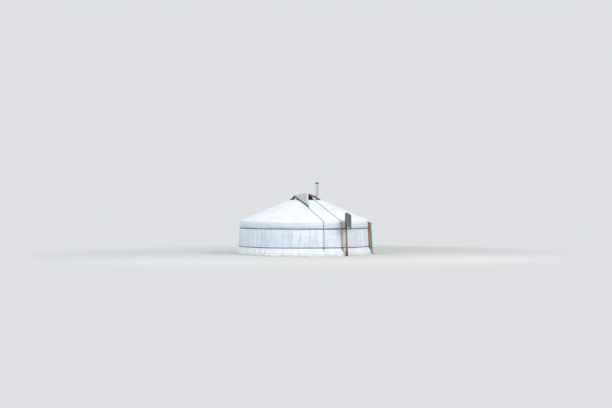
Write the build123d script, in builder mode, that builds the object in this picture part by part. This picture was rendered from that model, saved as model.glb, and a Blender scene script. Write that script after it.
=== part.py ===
from build123d import *
from math import asin, atan, cos, degrees, radians, sin, sqrt, tan
import os

# A felt-and-canvas yurt on a collapsible lattice wall, with a wooden door that opens.
# The origin is on the ground at the middle of the floor, +Z is up and the door faces -Y.
# Angles are measured about Z from +X, so the door is at -90 degrees. Sizes are millimetres.

# Fits
seat_gap = 0.4  # between pieces that rest on each other
layer_gap = 0.5  # between layers of the wall and roof covers
pole_gap = 0.6  # between the roof poles and the flat lengths of felt that lie across them
valance_gap = 4  # between the wall canvas and the roof canvas that hangs over it
door_gap = 6  # round the moving door leaf

# Lattice wall
wall_radius = 2890  # where the two layers of slats meet, at the top crossings
wall_lean = 3  # degrees that the wall leans in, so that its foot stands wider
sections = 5  # lattice sections, each in two halves
half_columns = 5  # columns of diamonds in half a section
rows = 4  # diamonds one above the other
slat_width = 32
slat_thickness = 12
slat_bite = 1  # how far crossing slats are let into each other
foot_height = 50  # the lowest crossings above the ground
head_height = 1395  # the top crossings, which carry the roof poles
horn_length = 100  # how far a slat runs past its top crossing

# Door
door_width = 900  # over the jambs
jamb_width = 80
frame_depth = 120
frame_front = 2935  # the frame's front face at the ground, from the middle of the floor
frame_foot = 15  # extra length at its foot, which is cut level with the ground
frame_height = 1450
sill_height = 100
head_rail_height = 85
leaf_thickness = 36
leaf_stile = 90  # width of the leaf's stiles and rails
leaf_panel_depth = 10  # how far its two panels are sunk, on each face
leaf_bead = 14  # slope round each panel
leaf_panel_shares = (0.42, 0.58)  # the lower and upper panels' shares of the height

# Hinges
hinge_pin_radius = 4
hinge_pin_clearance = 0.08
hinge_pin_length = 30  # above the frame's knuckle
hinge_knuckle_radius = 8
hinge_knuckle_length = 40
hinge_plate = (60, 90, 3)  # each plate's width, height and thickness
hinge_inset = 190  # hinge middles, from the leaf's top and bottom edges

# Door pull
handle_radius = 7
handle_reach = 45
handle_span = 140
handle_corner = 12

# Roof frame
pole_groups = 2
pole_size_wall = 34
pole_size_crown = 40
pole_seat_depth = 60  # how far a pole enters the crown ring
pole_overhang = 10  # a pole's outer end, past the lattice crossing
pole_rise = 64  # a pole's middle line above the crossing whose fork it rests in
poles_over_door = 2
ring_outer = 740
ring_inner = 640
ring_bottom = 2338
ring_top = 2435
ring_chamfer = 10
pole_entry_height = 2376  # middle of the poles at the ring's outer face
arch_rise = 250
arch_width = 42
arch_depth = 45
arch_count = 4
hub_radius = 85
hub_depth = 55
hub_drop = 4  # the hub's top below the top of the arches
hub_grip = 25  # how far the arches run into the hub
hoop_radius = 370
hoop_width = 34
post_size = 90
post_chamfer = 12
post_cap = (220, 110, 75)  # the bracket block on a post: width, depth, height
post_cap_edge = 25  # height of its straight ends, above their slopes

# Covers
felt_thickness = 25
wall_felt_height = 1400
canvas_thickness = 6
canvas_foot = 12  # the wall canvas above the ground
canvas_drop = 5  # and below the felt's top
cover_setback = 12  # the roof covers' upper edge, from the crown ring
felt_setback = 16  # the roof felt's eave edge, inside the wall felt's outer face
wall_lengths = (13, 12, 12, 13)  # columns of wall behind each length of felt and skirt
valance_bottom = 1155
eave_bevel = 14  # how far back the canvas starts to turn down at the eave
band_spare = 40  # extra length of each flat of cover, before its ends are mitred
hood_reach = 70  # the hood over the door, past the eave
hood_side_gap = 0.1  # degrees left open beside it
hood_hem = 30  # how far its front edge hangs
skirt_top = 415
skirt_break = 340  # where the skirt leaves the wall
skirt_flare = 150
skirt_thickness = 8
belt_height = 34
belt_thickness = 8
upper_belt_middle = 1180
lower_belt_middle = 362

# Crown flap
flap_thickness = 10
flap_corner_radius = 1650  # the corners tied down, from the middle
flap_corner_angle = 16  # the corners, turned from the X axis towards the door
flap_front = 160  # its fold, from the middle towards the door
flap_rear = 520
flap_rear_half = 400  # half its straight rear edge
flap_crown_clearance = 6
flap_sides = 32  # flats round the flap, as it bends over the crown
flap_dome_radii = (70, 270, 450, 600)  # where it bends, from its top outward

# Roof ropes
rope_radius = 8
rope_sides = 6
rope_eave_bend = 24
rope_roof_gap = 0.8
rope_wall_gap = 0.8
flap_rope_eave_angle = 25.5  # at the eave, from the X axis towards the door
flap_rope_runs = 4
side_rope_angle = 42  # from the X axis towards the door
side_rope_start = 765
knot_sides = 8
knot_radius = 22
knot_gap = 1.4
knot_height = 90
knot_chamfer = 10

# Stovepipe
pipe_radius = 55
pipe_wall = 2
pipe_place = 545  # its axis, from the middle towards the door
pipe_bottom = 1950
pipe_top = 3230
pipe_cap_radius = 88
pipe_cap_height = 60
pipe_cap_crown = 24  # height of its cone
cap_leg_height = 15
cap_leg_width = 12
cap_leg_angles = (90, 210, 330)
plate_thickness = 3
plate_inner_radius = 420
plate_overlap = 45  # how far the plate lies on the ring
plate_side_gap = 12
collar_height = 50

# Solar panel on its mast
mast_angle = 224
mast_lean = 2.5
mast_skirt_gap = 4
mast_foot_size = 52  # its radius at the ground
mast_top_size = 36
mast_length = 1860
panel_width = 520
panel_height = 600
panel_thickness = 28
panel_rim = 22
panel_recess = 4
panel_level = 1520  # its middle above the ground
panel_standoff = 130  # its middle plane, in front of the mast's axis
panel_facing = -102  # the way it faces, about Z
panel_tilt = 6  # and how far it looks up
panel_roll = 16  # clockwise, seen from in front
clamp_height = 40
clamp_wall = 5
bracket_arm = 34
bracket_rail = (420, 40, 20)  # the rail behind the panel: length, width, depth
lashing_width = 24
lashing_thickness = 6
lashing_gap = 1.2  # round the mast, which leans in it
lashing_nose = 18  # radius of the loop's end at the belt

# What follows from the sizes above
column_half_sine = (door_width / 2 + seat_gap) / (wall_radius - slat_thickness)
door_half_angle = degrees(asin(column_half_sine))
wall_start = -90 + door_half_angle
wall_arc = 360 - 2 * door_half_angle
column_count = 2 * sections * half_columns
column_arc = wall_arc / column_count
row_height = (head_height - foot_height) / rows
facet_width = 2 * wall_radius * sin(radians(column_arc / 2))
slat_slope = atan(row_height / facet_width)

roof_slope = atan((pole_entry_height - head_height - pole_rise) / (wall_radius - ring_outer))
felt_inner = wall_radius + slat_thickness + layer_gap
felt_outer = felt_inner + felt_thickness
canvas_inner = felt_outer + layer_gap
canvas_outer = canvas_inner + canvas_thickness
valance_inner = canvas_outer + valance_gap
eave_radius = valance_inner + canvas_thickness
skirt_inner = canvas_outer + layer_gap
skirt_outer = skirt_inner + skirt_thickness
upper_belt_inner = eave_radius + layer_gap
lower_belt_inner = skirt_outer + layer_gap

os.makedirs("parts", exist_ok=True)


def save(piece, name):
    """Labels a finished piece and writes it as one node."""
    piece.label = name
    export_step(piece, f"parts/{name}.step")


def upright(angle):
    """The vertical plane through Z at this angle: local X outward, local Y up."""
    a = radians(angle)
    return Plane(origin=(0, 0, 0), x_dir=(cos(a), sin(a), 0), z_dir=(sin(a), -cos(a), 0))


def pole_height(radius):
    """Height of a roof pole's middle line at this distance from Z."""
    return pole_entry_height - (radius - ring_outer) * tan(roof_slope)


def above_poles(radius, offset):
    """Height at this radius of a surface at this square distance over the poles."""
    half_pole = pole_size_crown / 2
    return pole_height(radius) + (half_pole + pole_gap + offset) / cos(roof_slope)


def lean(height):
    """How much wider the wall is at this height than at its top crossings."""
    return (head_height - height) * tan(radians(wall_lean))


def eave_corner(face, offset):
    """Where a face that hangs with the wall meets a surface over the poles: radius and height."""
    shift = tan(radians(wall_lean))
    radius = (face + lean(above_poles(0, offset))) / (1 - shift * tan(roof_slope))
    return radius, above_poles(radius, offset)


def flat_radius(radius, angle):
    """How far from Z a flat length of cover is at this angle, when its ends are at this radius."""
    off_middle = (angle - wall_start) % column_arc - column_arc / 2
    return radius * cos(radians(column_arc / 2)) / cos(radians(off_middle))


def flat_band(corners, start, end):
    """A flat length of cover between two angles: (radius, height) corners at its mitred ends."""
    half = radians(abs(end - start) / 2)
    reach = max(radius for radius, height in corners) * sin(half) + band_spare
    with BuildPart() as band:
        with BuildSketch(upright((start + end) / 2)):
            with BuildLine():
                Polyline(*[(radius * cos(half), height) for radius, height in corners], close=True)
            make_face()
        extrude(amount=reach, both=True)
        split(bisect_by=upright(max(start, end)), keep=Keep.TOP)
        split(bisect_by=upright(min(start, end)), keep=Keep.BOTTOM)
    return band.part


def band_round(corners, first, count):
    """Flat bands joined round the wall, one for each column of the lattice."""
    band = flat_band(corners, 0, column_arc)
    with BuildPart() as run:
        add([band.rotate(Axis.Z, wall_start + (first + i) * column_arc) for i in range(count)])
    return run.part


# The lattice wall
def slat_piece(low, side):
    """One slat across one column from this height up: side is 1 outside and rising, -1 inside and falling."""
    reach = slat_width / 2 / cos(slat_slope)
    middle = wall_radius + side * (slat_thickness - slat_bite) / 2
    with BuildPart() as piece:
        for angle in (-column_arc / 2, column_arc / 2):
            height = low + (row_height if angle * side > 0 else 0)
            with BuildSketch(upright(angle)):
                with Locations((middle + lean(height), height)):
                    Rectangle(slat_thickness, 2 * reach, rotation=wall_lean)
        loft(ruled=True)
    return piece.part


slats = [slat_piece(foot_height + row * row_height, side) for row in range(-1, rows + 1) for side in (1, -1)]
with BuildPart() as column:
    add(slats)
    # The slats end just past their top crossings, and stand on the ground
    horn_top = head_height + horn_length * sin(slat_slope)
    split(bisect_by=Plane.XY.offset(horn_top), keep=Keep.BOTTOM)
    split(bisect_by=Plane.XY, keep=Keep.TOP)

with BuildPart() as half_section:
    for i in range(half_columns):
        add(column.part.rotate(Axis.Z, (i + 0.5) * column_arc))

for i in range(2 * sections):
    start = wall_start + i * half_columns * column_arc
    half = "left" if i % 2 == 0 else "right"
    save(half_section.part.rotate(Axis.Z, start), f"lattice_{i // 2 + 1}_{half}")

# Roof poles: one in each fork of the lattice and some on the door frame
pole_angles = [wall_start + i * column_arc for i in range(column_count + 1)]
door_step = 2 * door_half_angle / (poles_over_door + 1)
door_pole_angles = [wall_start - (i + 1) * door_step for i in range(poles_over_door)]


def roof_pole(grow=0.0):
    """One tapered pole along +X, from its wall end to its seat in the ring."""
    outer_radius = wall_radius + pole_overhang
    inner_radius = ring_outer - pole_seat_depth - grow
    with BuildPart() as pole:
        for radius, size in ((outer_radius, pole_size_wall), (inner_radius, pole_size_crown)):
            with BuildSketch(Plane.YZ.offset(radius)):
                with Locations((0, pole_height(radius))):
                    Rectangle(size + 2 * grow, (size + 2 * grow) / cos(roof_slope))
        loft(ruled=True)
    return pole.part


pole = roof_pole()
pole_room = roof_pole(seat_gap)
per_group = column_count // pole_groups
for group in range(pole_groups):
    last = group == pole_groups - 1
    first_pole = group * per_group
    angles = pole_angles[first_pole:] if last else pole_angles[first_pole:first_pole + per_group]
    with BuildPart() as poles:
        add([pole.rotate(Axis.Z, angle) for angle in angles])
    save(poles.part, f"roof_poles_{group + 1}")
with BuildPart() as door_poles:
    add([pole.rotate(Axis.Z, angle) for angle in door_pole_angles])
save(door_poles.part, "roof_poles_door")

# The crown: a ring, crossing arches and an inner hoop
with BuildPart() as crown_ring:
    with BuildSketch(upright(0)):
        with Locations(((ring_outer + ring_inner) / 2, (ring_top + ring_bottom) / 2)):
            Rectangle(ring_outer - ring_inner, ring_top - ring_bottom)
    revolve(axis=Axis.Z)
    chamfer(crown_ring.edges().filter_by(GeomType.CIRCLE), ring_chamfer)
    add([pole_room.rotate(Axis.Z, angle) for angle in pole_angles + door_pole_angles], mode=Mode.SUBTRACT)
save(crown_ring.part, "crown_ring")

# Each arch is part of a circle that stands on the ring's top face
arch_foot = (ring_inner + ring_outer) / 2
arch_radius = (arch_foot**2 + arch_rise**2) / (2 * arch_rise)
arch_centre = ring_top + arch_rise - arch_radius


def arch_height(radius):
    """Height of an arch's middle line at this distance from Z."""
    return arch_centre + sqrt(arch_radius**2 - radius**2)


with BuildPart() as spoke:
    with BuildSketch(upright(0)):
        with Locations((0, arch_centre)):
            Circle(arch_radius + arch_depth / 2)
            Circle(arch_radius - arch_depth / 2, mode=Mode.SUBTRACT)
        with Locations((hub_radius - hub_grip, ring_top)):
            Rectangle(ring_outer, 2 * arch_rise, align=(Align.MIN, Align.MIN), mode=Mode.INTERSECT)
    extrude(amount=arch_width / 2, both=True)

with BuildPart() as crown_arches:
    hub_top = arch_height(0) + arch_depth / 2 - hub_drop
    with BuildSketch(Plane.XY.offset(hub_top - hub_depth)):
        Circle(hub_radius)
    extrude(amount=hub_depth)
    with BuildSketch(upright(0)):
        with Locations((hoop_radius, arch_height(hoop_radius))):
            Rectangle(hoop_width, hoop_width)
    revolve(axis=Axis.Z)
    add([spoke.part.rotate(Axis.Z, (i + 0.5) * 180 / arch_count) for i in range(2 * arch_count)])
save(crown_arches.part, "crown_arches")

# Two posts stand under the ring, one on each side
for side, name in ((-1, "post_left"), (1, "post_right")):
    cap_width, cap_depth, cap_height = post_cap
    cap_top = ring_bottom - seat_gap
    with BuildPart() as post:
        with BuildSketch(Plane.XY):
            with Locations((side * arch_foot, 0)):
                Rectangle(post_size, post_size)
        extrude(amount=cap_top - cap_height)
        chamfer(post.edges().filter_by(Axis.Z), post_chamfer)
        with BuildSketch(Plane.YZ.offset(side * arch_foot)):
            with BuildLine():
                Polyline(
                    (-post_size / 2, cap_top - cap_height),
                    (-cap_width / 2, cap_top - post_cap_edge),
                    (-cap_width / 2, cap_top),
                    (cap_width / 2, cap_top),
                    (cap_width / 2, cap_top - post_cap_edge),
                    (post_size / 2, cap_top - cap_height),
                    close=True,
                )
            make_face()
        extrude(amount=cap_depth / 2, both=True)
    save(post.part, name)


# The door frame, made upright, then leant in with the wall and cut level at the ground
frame_middle = -frame_front + frame_depth / 2
opening_width = door_width - 2 * jamb_width
head_bottom = frame_height - head_rail_height
tilt_line = Axis((0, -frame_front, 0), (1, 0, 0))


def leant(piece):
    """A piece of the door or its frame, leant in with the wall."""
    return piece.rotate(tilt_line, -wall_lean)


for side, name in ((-1, "door_jamb_left"), (1, "door_jamb_right")):
    with BuildPart() as upright_jamb:
        with BuildSketch(Plane.XY.offset(-frame_foot)):
            with Locations((side * (door_width - jamb_width) / 2, frame_middle)):
                Rectangle(jamb_width, frame_depth)
        extrude(amount=frame_foot + head_bottom)
    with BuildPart() as jamb:
        add(leant(upright_jamb.part))
        split(bisect_by=Plane.XY, keep=Keep.TOP)
    save(jamb.part, name)

with BuildPart() as upright_sill:
    with BuildSketch(Plane.XY.offset(-frame_foot)):
        with Locations((0, frame_middle)):
            Rectangle(opening_width, frame_depth)
    extrude(amount=frame_foot + sill_height)
with BuildPart() as door_sill:
    add(leant(upright_sill.part))
    split(bisect_by=Plane.XY, keep=Keep.TOP)
save(door_sill.part, "door_sill")

# The head is notched for the poles that rest on it
with BuildPart() as upright_head:
    with BuildSketch(Plane.XY.offset(head_bottom)):
        with Locations((0, frame_middle)):
            Rectangle(door_width, frame_depth)
    extrude(amount=head_rail_height)
with BuildPart() as door_head:
    add(leant(upright_head.part))
    add([pole_room.rotate(Axis.Z, angle) for angle in pole_angles + door_pole_angles], mode=Mode.SUBTRACT)
save(door_head.part, "door_head")

# The leaf: a frame of stiles and rails round two sunk panels
leaf_width = opening_width - 2 * door_gap
leaf_bottom = sill_height + door_gap
leaf_height = head_bottom - door_gap - leaf_bottom
leaf_back = leaf_thickness - frame_front
sunk_width = leaf_width - 2 * leaf_stile
sunk_heights = [(leaf_height - 3 * leaf_stile) * share for share in leaf_panel_shares]
with BuildPart() as door_leaf:
    with BuildSketch(Plane.XY.offset(leaf_bottom)):
        with Locations((0, -frame_front + leaf_thickness / 2)):
            Rectangle(leaf_width, leaf_thickness)
    extrude(amount=leaf_height)
    low = leaf_bottom + leaf_stile
    for tall in sunk_heights:
        for face, inward in ((-frame_front, 1), (leaf_back, -1)):
            with BuildSketch(Plane.XZ.offset(-face)):
                with Locations((0, low + tall / 2)):
                    Rectangle(sunk_width, tall)
            with BuildSketch(Plane.XZ.offset(-face - inward * leaf_panel_depth)):
                with Locations((0, low + tall / 2)):
                    Rectangle(sunk_width - 2 * leaf_bead, tall - 2 * leaf_bead)
            loft(mode=Mode.SUBTRACT)
        low += tall + leaf_stile
save(leant(door_leaf.part), "door_leaf")

# Lift-off hinges on the right jamb: a pin on the frame, a sleeve on the leaf
hinge_x = opening_width / 2 - door_gap / 2
plate_face = -frame_front - seat_gap / 2
plate_width, plate_height, plate_gauge = hinge_plate
hinge_y = plate_face - plate_gauge - hinge_knuckle_radius
hinge_levels = (leaf_bottom + hinge_inset, leaf_bottom + leaf_height - hinge_inset)
plate_inset = hinge_knuckle_radius + door_gap


def hinge_side(level, toward):
    """The plate and knuckle of one hinge half: toward is 1 on the frame, -1 on the leaf."""
    side = Align.MIN if toward > 0 else Align.MAX
    knuckle_low = level - hinge_knuckle_length if toward > 0 else level
    with BuildPart() as half:
        with BuildSketch(Plane.XY.offset(knuckle_low)):
            with Locations((hinge_x, hinge_y)):
                Circle(hinge_knuckle_radius)
            with Locations((hinge_x, plate_face)):
                Rectangle(hinge_knuckle_radius, plate_face - hinge_y, align=(side, Align.MAX))
                Rectangle(plate_width, plate_gauge, align=(side, Align.MAX))
        extrude(amount=hinge_knuckle_length - (seat_gap if toward > 0 else 0))
        with BuildSketch(Plane.XY.offset(level - plate_height / 2)):
            with Locations((hinge_x + toward * plate_inset, plate_face)):
                Rectangle(plate_width - plate_inset, plate_gauge, align=(side, Align.MAX))
        extrude(amount=plate_height)
    return half.part


frame_halves = [hinge_side(level, 1) for level in hinge_levels]
with BuildPart() as hinges_frame_side:
    add(frame_halves)
    for level in hinge_levels:
        with BuildSketch(Plane.XY.offset(level - hinge_knuckle_length / 2)):
            with Locations((hinge_x, hinge_y)):
                Circle(hinge_pin_radius)
        extrude(amount=hinge_knuckle_length / 2 + hinge_pin_length)
save(leant(hinges_frame_side.part), "hinges_frame_side")

leaf_halves = [hinge_side(level, -1) for level in hinge_levels]
with BuildPart() as hinges_leaf_side:
    add(leaf_halves)
    for level in hinge_levels:
        with BuildSketch(Plane.XY.offset(level)):
            with Locations((hinge_x, hinge_y)):
                Circle(hinge_pin_radius + hinge_pin_clearance)
        extrude(amount=hinge_knuckle_length, mode=Mode.SUBTRACT)
save(leant(hinges_leaf_side.part), "hinges_leaf_side")

# A bent-rod pull on the leaf's free side
handle_x = -leaf_width / 2 + leaf_stile / 2
handle_low = leaf_bottom + leaf_height / 2 - handle_span / 2
handle_high = handle_low + handle_span
with BuildPart() as door_handle:
    with BuildLine():
        Polyline(
            (handle_x, plate_face, handle_low),
            (handle_x, plate_face - handle_reach + handle_corner, handle_low),
            (handle_x, plate_face - handle_reach, handle_low + handle_corner),
            (handle_x, plate_face - handle_reach, handle_high - handle_corner),
            (handle_x, plate_face - handle_reach + handle_corner, handle_high),
            (handle_x, plate_face, handle_high),
        )
    with BuildSketch(Plane.XZ.offset(-plate_face)):
        with Locations((handle_x, handle_low)):
            RegularPolygon(handle_radius, 8)
    sweep(transition=Transition.RIGHT)
save(leant(door_handle.part), "door_handle")


# Felt and canvas on the wall, and the skirt at its foot
def wall_band(inner, outer, bottom, top):
    """Corners of a plain band that leans with the wall."""
    return [
        (inner + lean(bottom), bottom),
        (outer + lean(bottom), bottom),
        (outer + lean(top), top),
        (inner + lean(top), top),
    ]


felt_corners = wall_band(felt_inner, felt_outer, 0, wall_felt_height)
skirt_corners = [
    (skirt_inner + lean(skirt_top), skirt_top),
    (skirt_inner + lean(skirt_break), skirt_break),
    (skirt_inner + lean(0) + skirt_flare, 0),
    (skirt_outer + lean(0) + skirt_flare, 0),
    (skirt_outer + lean(skirt_break), skirt_break),
    (skirt_outer + lean(skirt_top), skirt_top),
]
first = 0
for i, columns in enumerate(wall_lengths):
    save(band_round(felt_corners, first, columns), f"wall_felt_{i + 1}")
    save(band_round(skirt_corners, first, columns), f"skirt_{i + 1}")
    first += columns

canvas_corners = wall_band(canvas_inner, canvas_outer, canvas_foot, wall_felt_height - canvas_drop)
save(band_round(canvas_corners, 0, column_count), "wall_canvas")

# Felt and canvas on the roof: flat between neighbouring poles, over the door too
felt_top_radius = ring_outer + cover_setback
felt_eave_radius = felt_outer - felt_setback
half_count = column_count // 2
door_bands = poles_over_door + 1


def slope_band(inner, outer, bed, thickness):
    """Corners of a band up the roof slope, resting this far above the poles."""
    return [
        (inner, above_poles(inner, bed)),
        (outer, above_poles(outer, bed)),
        (outer, above_poles(outer, bed + thickness)),
        (inner, above_poles(inner, bed + thickness)),
    ]


def bands_over_door(corners):
    """Flat bands from pole to pole over the door."""
    band = flat_band(corners, 0, door_step)
    return [band.rotate(Axis.Z, wall_start - (i + 1) * door_step) for i in range(door_bands)]


roof_felt_corners = slope_band(felt_top_radius, felt_eave_radius, 0, felt_thickness)
save(band_round(roof_felt_corners, 0, half_count), "roof_felt_right")
felt_over_door = bands_over_door(roof_felt_corners)
felt_left_half = band_round(roof_felt_corners, half_count, column_count - half_count)
with BuildPart() as roof_felt_left:
    add(felt_left_half)
    add(felt_over_door)
save(roof_felt_left.part, "roof_felt_left")

canvas_bed = felt_thickness + layer_gap
canvas_face = canvas_bed + canvas_thickness


def hem_profile(top_radius, face, bottom):
    """Corners of canvas down the slope that turns down over a bevelled eave to this face."""
    surfaces = []
    for radius, offset in ((face - canvas_thickness, canvas_bed), (face, canvas_face)):
        edge, height = eave_corner(radius, offset)
        back = edge - eave_bevel
        surfaces.append(
            [
                (top_radius, above_poles(top_radius, offset)),
                (back, above_poles(back, offset)),
                (radius + lean(height - eave_bevel), height - eave_bevel),
                (radius + lean(bottom), bottom),
            ]
        )
    under, over = surfaces
    return under + over[::-1]


valance_run = band_round(hem_profile(felt_top_radius, eave_radius, valance_bottom), 0, column_count)
canvas_over_door = bands_over_door(slope_band(felt_top_radius, felt_eave_radius, canvas_bed, canvas_thickness))
with BuildPart() as roof_canvas:
    add(valance_run)
    add(canvas_over_door)
save(roof_canvas.part, "roof_canvas")

# The hood runs on over the door and hangs a little at its front
hood_face = eave_radius + hood_reach
hood_corner, hood_level = eave_corner(hood_face, canvas_bed)
hood_corners = hem_profile(felt_eave_radius + seat_gap, hood_face, hood_level - hood_hem)
hood_angles = [wall_start - hood_side_gap, *door_pole_angles, wall_start + column_arc * column_count + hood_side_gap]
hood_angles[-1] -= 360
hood_bands = [flat_band(hood_corners, a, b) for a, b in zip(hood_angles, hood_angles[1:])]
with BuildPart() as door_hood:
    add(hood_bands)
save(door_hood.part, "door_hood")

# Two belts hold the covers
for name, inner, middle in (
    ("upper_belt", upper_belt_inner, upper_belt_middle),
    ("lower_belt", lower_belt_inner, lower_belt_middle),
):
    corners = wall_band(inner, inner + belt_thickness, middle - belt_height / 2, middle + belt_height / 2)
    save(band_round(corners, 0, column_count), name)


# The crown flap: five-cornered canvas over the arches and down the roof
flap_bed = canvas_face + seat_gap
flap_under_radius = arch_radius + arch_depth / 2 + flap_crown_clearance


def flap_turn(offset):
    """Where the flap's face at this offset leaves the arches for the roof."""
    slope = tan(roof_slope)
    rise = above_poles(0, flap_bed + offset) - arch_centre
    sphere = flap_under_radius + offset
    root = sqrt((rise * slope) ** 2 - (1 + slope**2) * (rise**2 - sphere**2))
    radius = (rise * slope + root) / (1 + slope**2)
    return radius, above_poles(radius, flap_bed + offset)


def flap_hill(offset):
    """A many-sided hill whose surface is the flap's face at this offset."""
    sphere = flap_under_radius + offset
    levels = [(radius, arch_centre + sqrt(sphere**2 - radius**2)) for radius in flap_dome_radii]
    foot_radius = flap_corner_radius + flap_rear
    levels += [flap_turn(offset), (foot_radius, above_poles(foot_radius, flap_bed + offset))]
    with BuildPart() as hill:
        for radius, height in levels:
            with BuildSketch(Plane.XY.offset(height)):
                RegularPolygon(radius, flap_sides, major_radius=False)
        loft(ruled=True)
    return hill.part


corner_angle = radians(flap_corner_angle)
corner_x = flap_corner_radius * cos(corner_angle)
corner_y = -flap_corner_radius * sin(corner_angle)
flap_over = flap_hill(flap_thickness)
flap_under = flap_hill(0)
with BuildPart() as crown_flap:
    with BuildSketch(Plane.XY):
        with BuildLine():
            Polyline(
                (flap_rear_half, flap_rear),
                (-flap_rear_half, flap_rear),
                (-corner_x, corner_y),
                (0, -flap_front),
                (corner_x, corner_y),
                close=True,
            )
        make_face()
    extrude(amount=pipe_top)
    add(flap_over, mode=Mode.INTERSECT)
    add(flap_under, mode=Mode.SUBTRACT)
save(crown_flap.part, "crown_flap")


# Ropes over the roof and down the wall, tied at the lower belt
rope_bed = canvas_face + rope_roof_gap + rope_radius * cos(radians(180 / rope_sides))
belt_face = max(upper_belt_inner, lower_belt_inner) + belt_thickness
rope_wall_radius = belt_face + rope_wall_gap + rope_radius
knot_reach = lower_belt_inner + belt_thickness + knot_gap + knot_radius + lean(lower_belt_middle)


def round_point(radius, angle, height):
    """A point at this distance from Z, this angle and this height."""
    return (radius * cos(radians(angle)), radius * sin(radians(angle)), height)


def tied_rope(start_radius, start_angle, end_angle, runs):
    """A rope over the roof to the eave, then down the wall to its knot."""
    face = flat_radius(rope_wall_radius, end_angle)
    corner, corner_height = eave_corner(face, rope_bed)
    start = round_point(start_radius, start_angle, 0)
    eave = round_point(corner - rope_eave_bend, end_angle, 0)
    points = []
    for i in range(runs + 1):
        x = start[0] + (eave[0] - start[0]) * i / runs
        y = start[1] + (eave[1] - start[1]) * i / runs
        points.append((x, y, above_poles(sqrt(x * x + y * y), rope_bed)))
    for height in (corner_height - rope_eave_bend, lower_belt_middle):
        points.append(round_point(face + lean(height), end_angle, height))
    with BuildPart() as knot:
        knot_foot = round_point(flat_radius(knot_reach, end_angle), end_angle, lower_belt_middle - knot_height / 2)
        with BuildSketch(Plane(origin=knot_foot)):
            RegularPolygon(knot_radius, knot_sides)
        extrude(amount=knot_height)
        chamfer(knot.faces().filter_by(Axis.Z).edges(), knot_chamfer)
    corners = [Vector(*point) for point in points]
    runs_along = [(b - a).normalized() for a, b in zip(corners, corners[1:])]
    into, out_of = runs_along[:1] + runs_along, runs_along + runs_along[-1:]
    across = round_point(1, end_angle + 90, 0)
    with BuildPart() as rope:
        for corner_point, before, after in zip(corners, into, out_of):
            with BuildSketch(Plane(origin=corner_point, x_dir=across, z_dir=before + after)):
                RegularPolygon(rope_radius, rope_sides)
        loft(ruled=True)
        add(knot.part)
    return rope.part


flap_rope_starts = flap_corner_radius + rope_radius
flap_rope_set = [
    tied_rope(flap_rope_starts, 180 + flap_corner_angle, 180 + flap_rope_eave_angle, flap_rope_runs),
    tied_rope(flap_rope_starts, -flap_corner_angle, -flap_rope_eave_angle, flap_rope_runs),
]
with BuildPart() as flap_ropes:
    add(flap_rope_set)
save(flap_ropes.part, "flap_ropes")

side_rope_set = [
    tied_rope(side_rope_start, 180 + side_rope_angle, 180 + side_rope_angle, 1),
    tied_rope(side_rope_start, -side_rope_angle, -side_rope_angle, 1),
]
with BuildPart() as side_ropes:
    add(side_rope_set)
save(side_ropes.part, "side_ropes")


# The stovepipe stands in a collar on a plate between two arches
with BuildPart() as pipe_plate:
    half_sector = radians(180 / arch_count / 2)
    side_offset = (arch_width / 2 + plate_side_gap) / sin(half_sector)
    sector_x = ring_outer * sin(half_sector)
    sector_y = -side_offset - ring_outer * cos(half_sector)
    plate_outer_radius = ring_inner + plate_overlap
    with BuildSketch(Plane.XY.offset(ring_top + seat_gap)):
        Circle(plate_outer_radius)
        Circle(plate_inner_radius, mode=Mode.SUBTRACT)
        with BuildLine():
            Polyline(
                (0, -side_offset),
                (sector_x, sector_y),
                (-sector_x, sector_y),
                close=True,
            )
        make_face(mode=Mode.INTERSECT)
    extrude(amount=plate_thickness)
    with BuildSketch(Plane.XY.offset(ring_top + seat_gap)):
        with Locations((0, -pipe_place)):
            Circle(pipe_radius + seat_gap + plate_thickness)
    extrude(amount=collar_height)
    with Locations((0, -pipe_place, ring_top)):
        Cylinder(pipe_radius + seat_gap, 2 * collar_height + ring_chamfer, mode=Mode.SUBTRACT)
save(pipe_plate.part, "pipe_plate")

cap_ceiling = pipe_top - pipe_cap_crown
rim_height = cap_ceiling - cap_leg_height
with BuildPart() as stovepipe:
    with BuildSketch(Plane.XY.offset(pipe_bottom)):
        with Locations((0, -pipe_place)):
            Circle(pipe_radius)
            Circle(pipe_radius - pipe_wall, mode=Mode.SUBTRACT)
    extrude(amount=rim_height - seat_gap - pipe_bottom)
save(stovepipe.part, "stovepipe")

with BuildPart() as pipe_cap:
    with BuildSketch(Plane(origin=(0, -pipe_place, 0), x_dir=(1, 0, 0), z_dir=(0, -1, 0))):
        with BuildLine():
            Polyline(
                (0, pipe_top),
                (pipe_cap_radius, cap_ceiling + pipe_wall),
                (pipe_cap_radius, pipe_top - pipe_cap_height),
                (pipe_cap_radius - pipe_wall, pipe_top - pipe_cap_height),
                (pipe_cap_radius - pipe_wall, cap_ceiling),
                (0, cap_ceiling),
                close=True,
            )
        make_face()
    revolve(axis=Axis((0, -pipe_place, 0), (0, 0, 1)))
    for turn in cap_leg_angles:
        with BuildSketch(Plane(origin=(0, -pipe_place, rim_height)).rotated((0, 0, turn))):
            with Locations(((pipe_radius + pipe_cap_radius - pipe_wall) / 2, 0)):
                Rectangle(pipe_cap_radius - pipe_radius + pipe_wall, cap_leg_width)
        extrude(amount=cap_leg_height)
save(pipe_cap.part, "pipe_cap")


# A mast beside the wall carries the solar panel
mast_foot_radius = skirt_outer + lean(0) + skirt_flare + mast_skirt_gap + mast_foot_size
mast_tilt = radians(mast_lean)
mast_run = round_point(-sin(mast_tilt), mast_angle, cos(mast_tilt))


def mast_point(height):
    """The mast's axis at this height."""
    return round_point(mast_foot_radius - height * tan(mast_tilt), mast_angle, height)


def mast_size(height):
    """The mast's radius at this height."""
    return mast_foot_size + (mast_top_size - mast_foot_size) * height / mast_length


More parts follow.
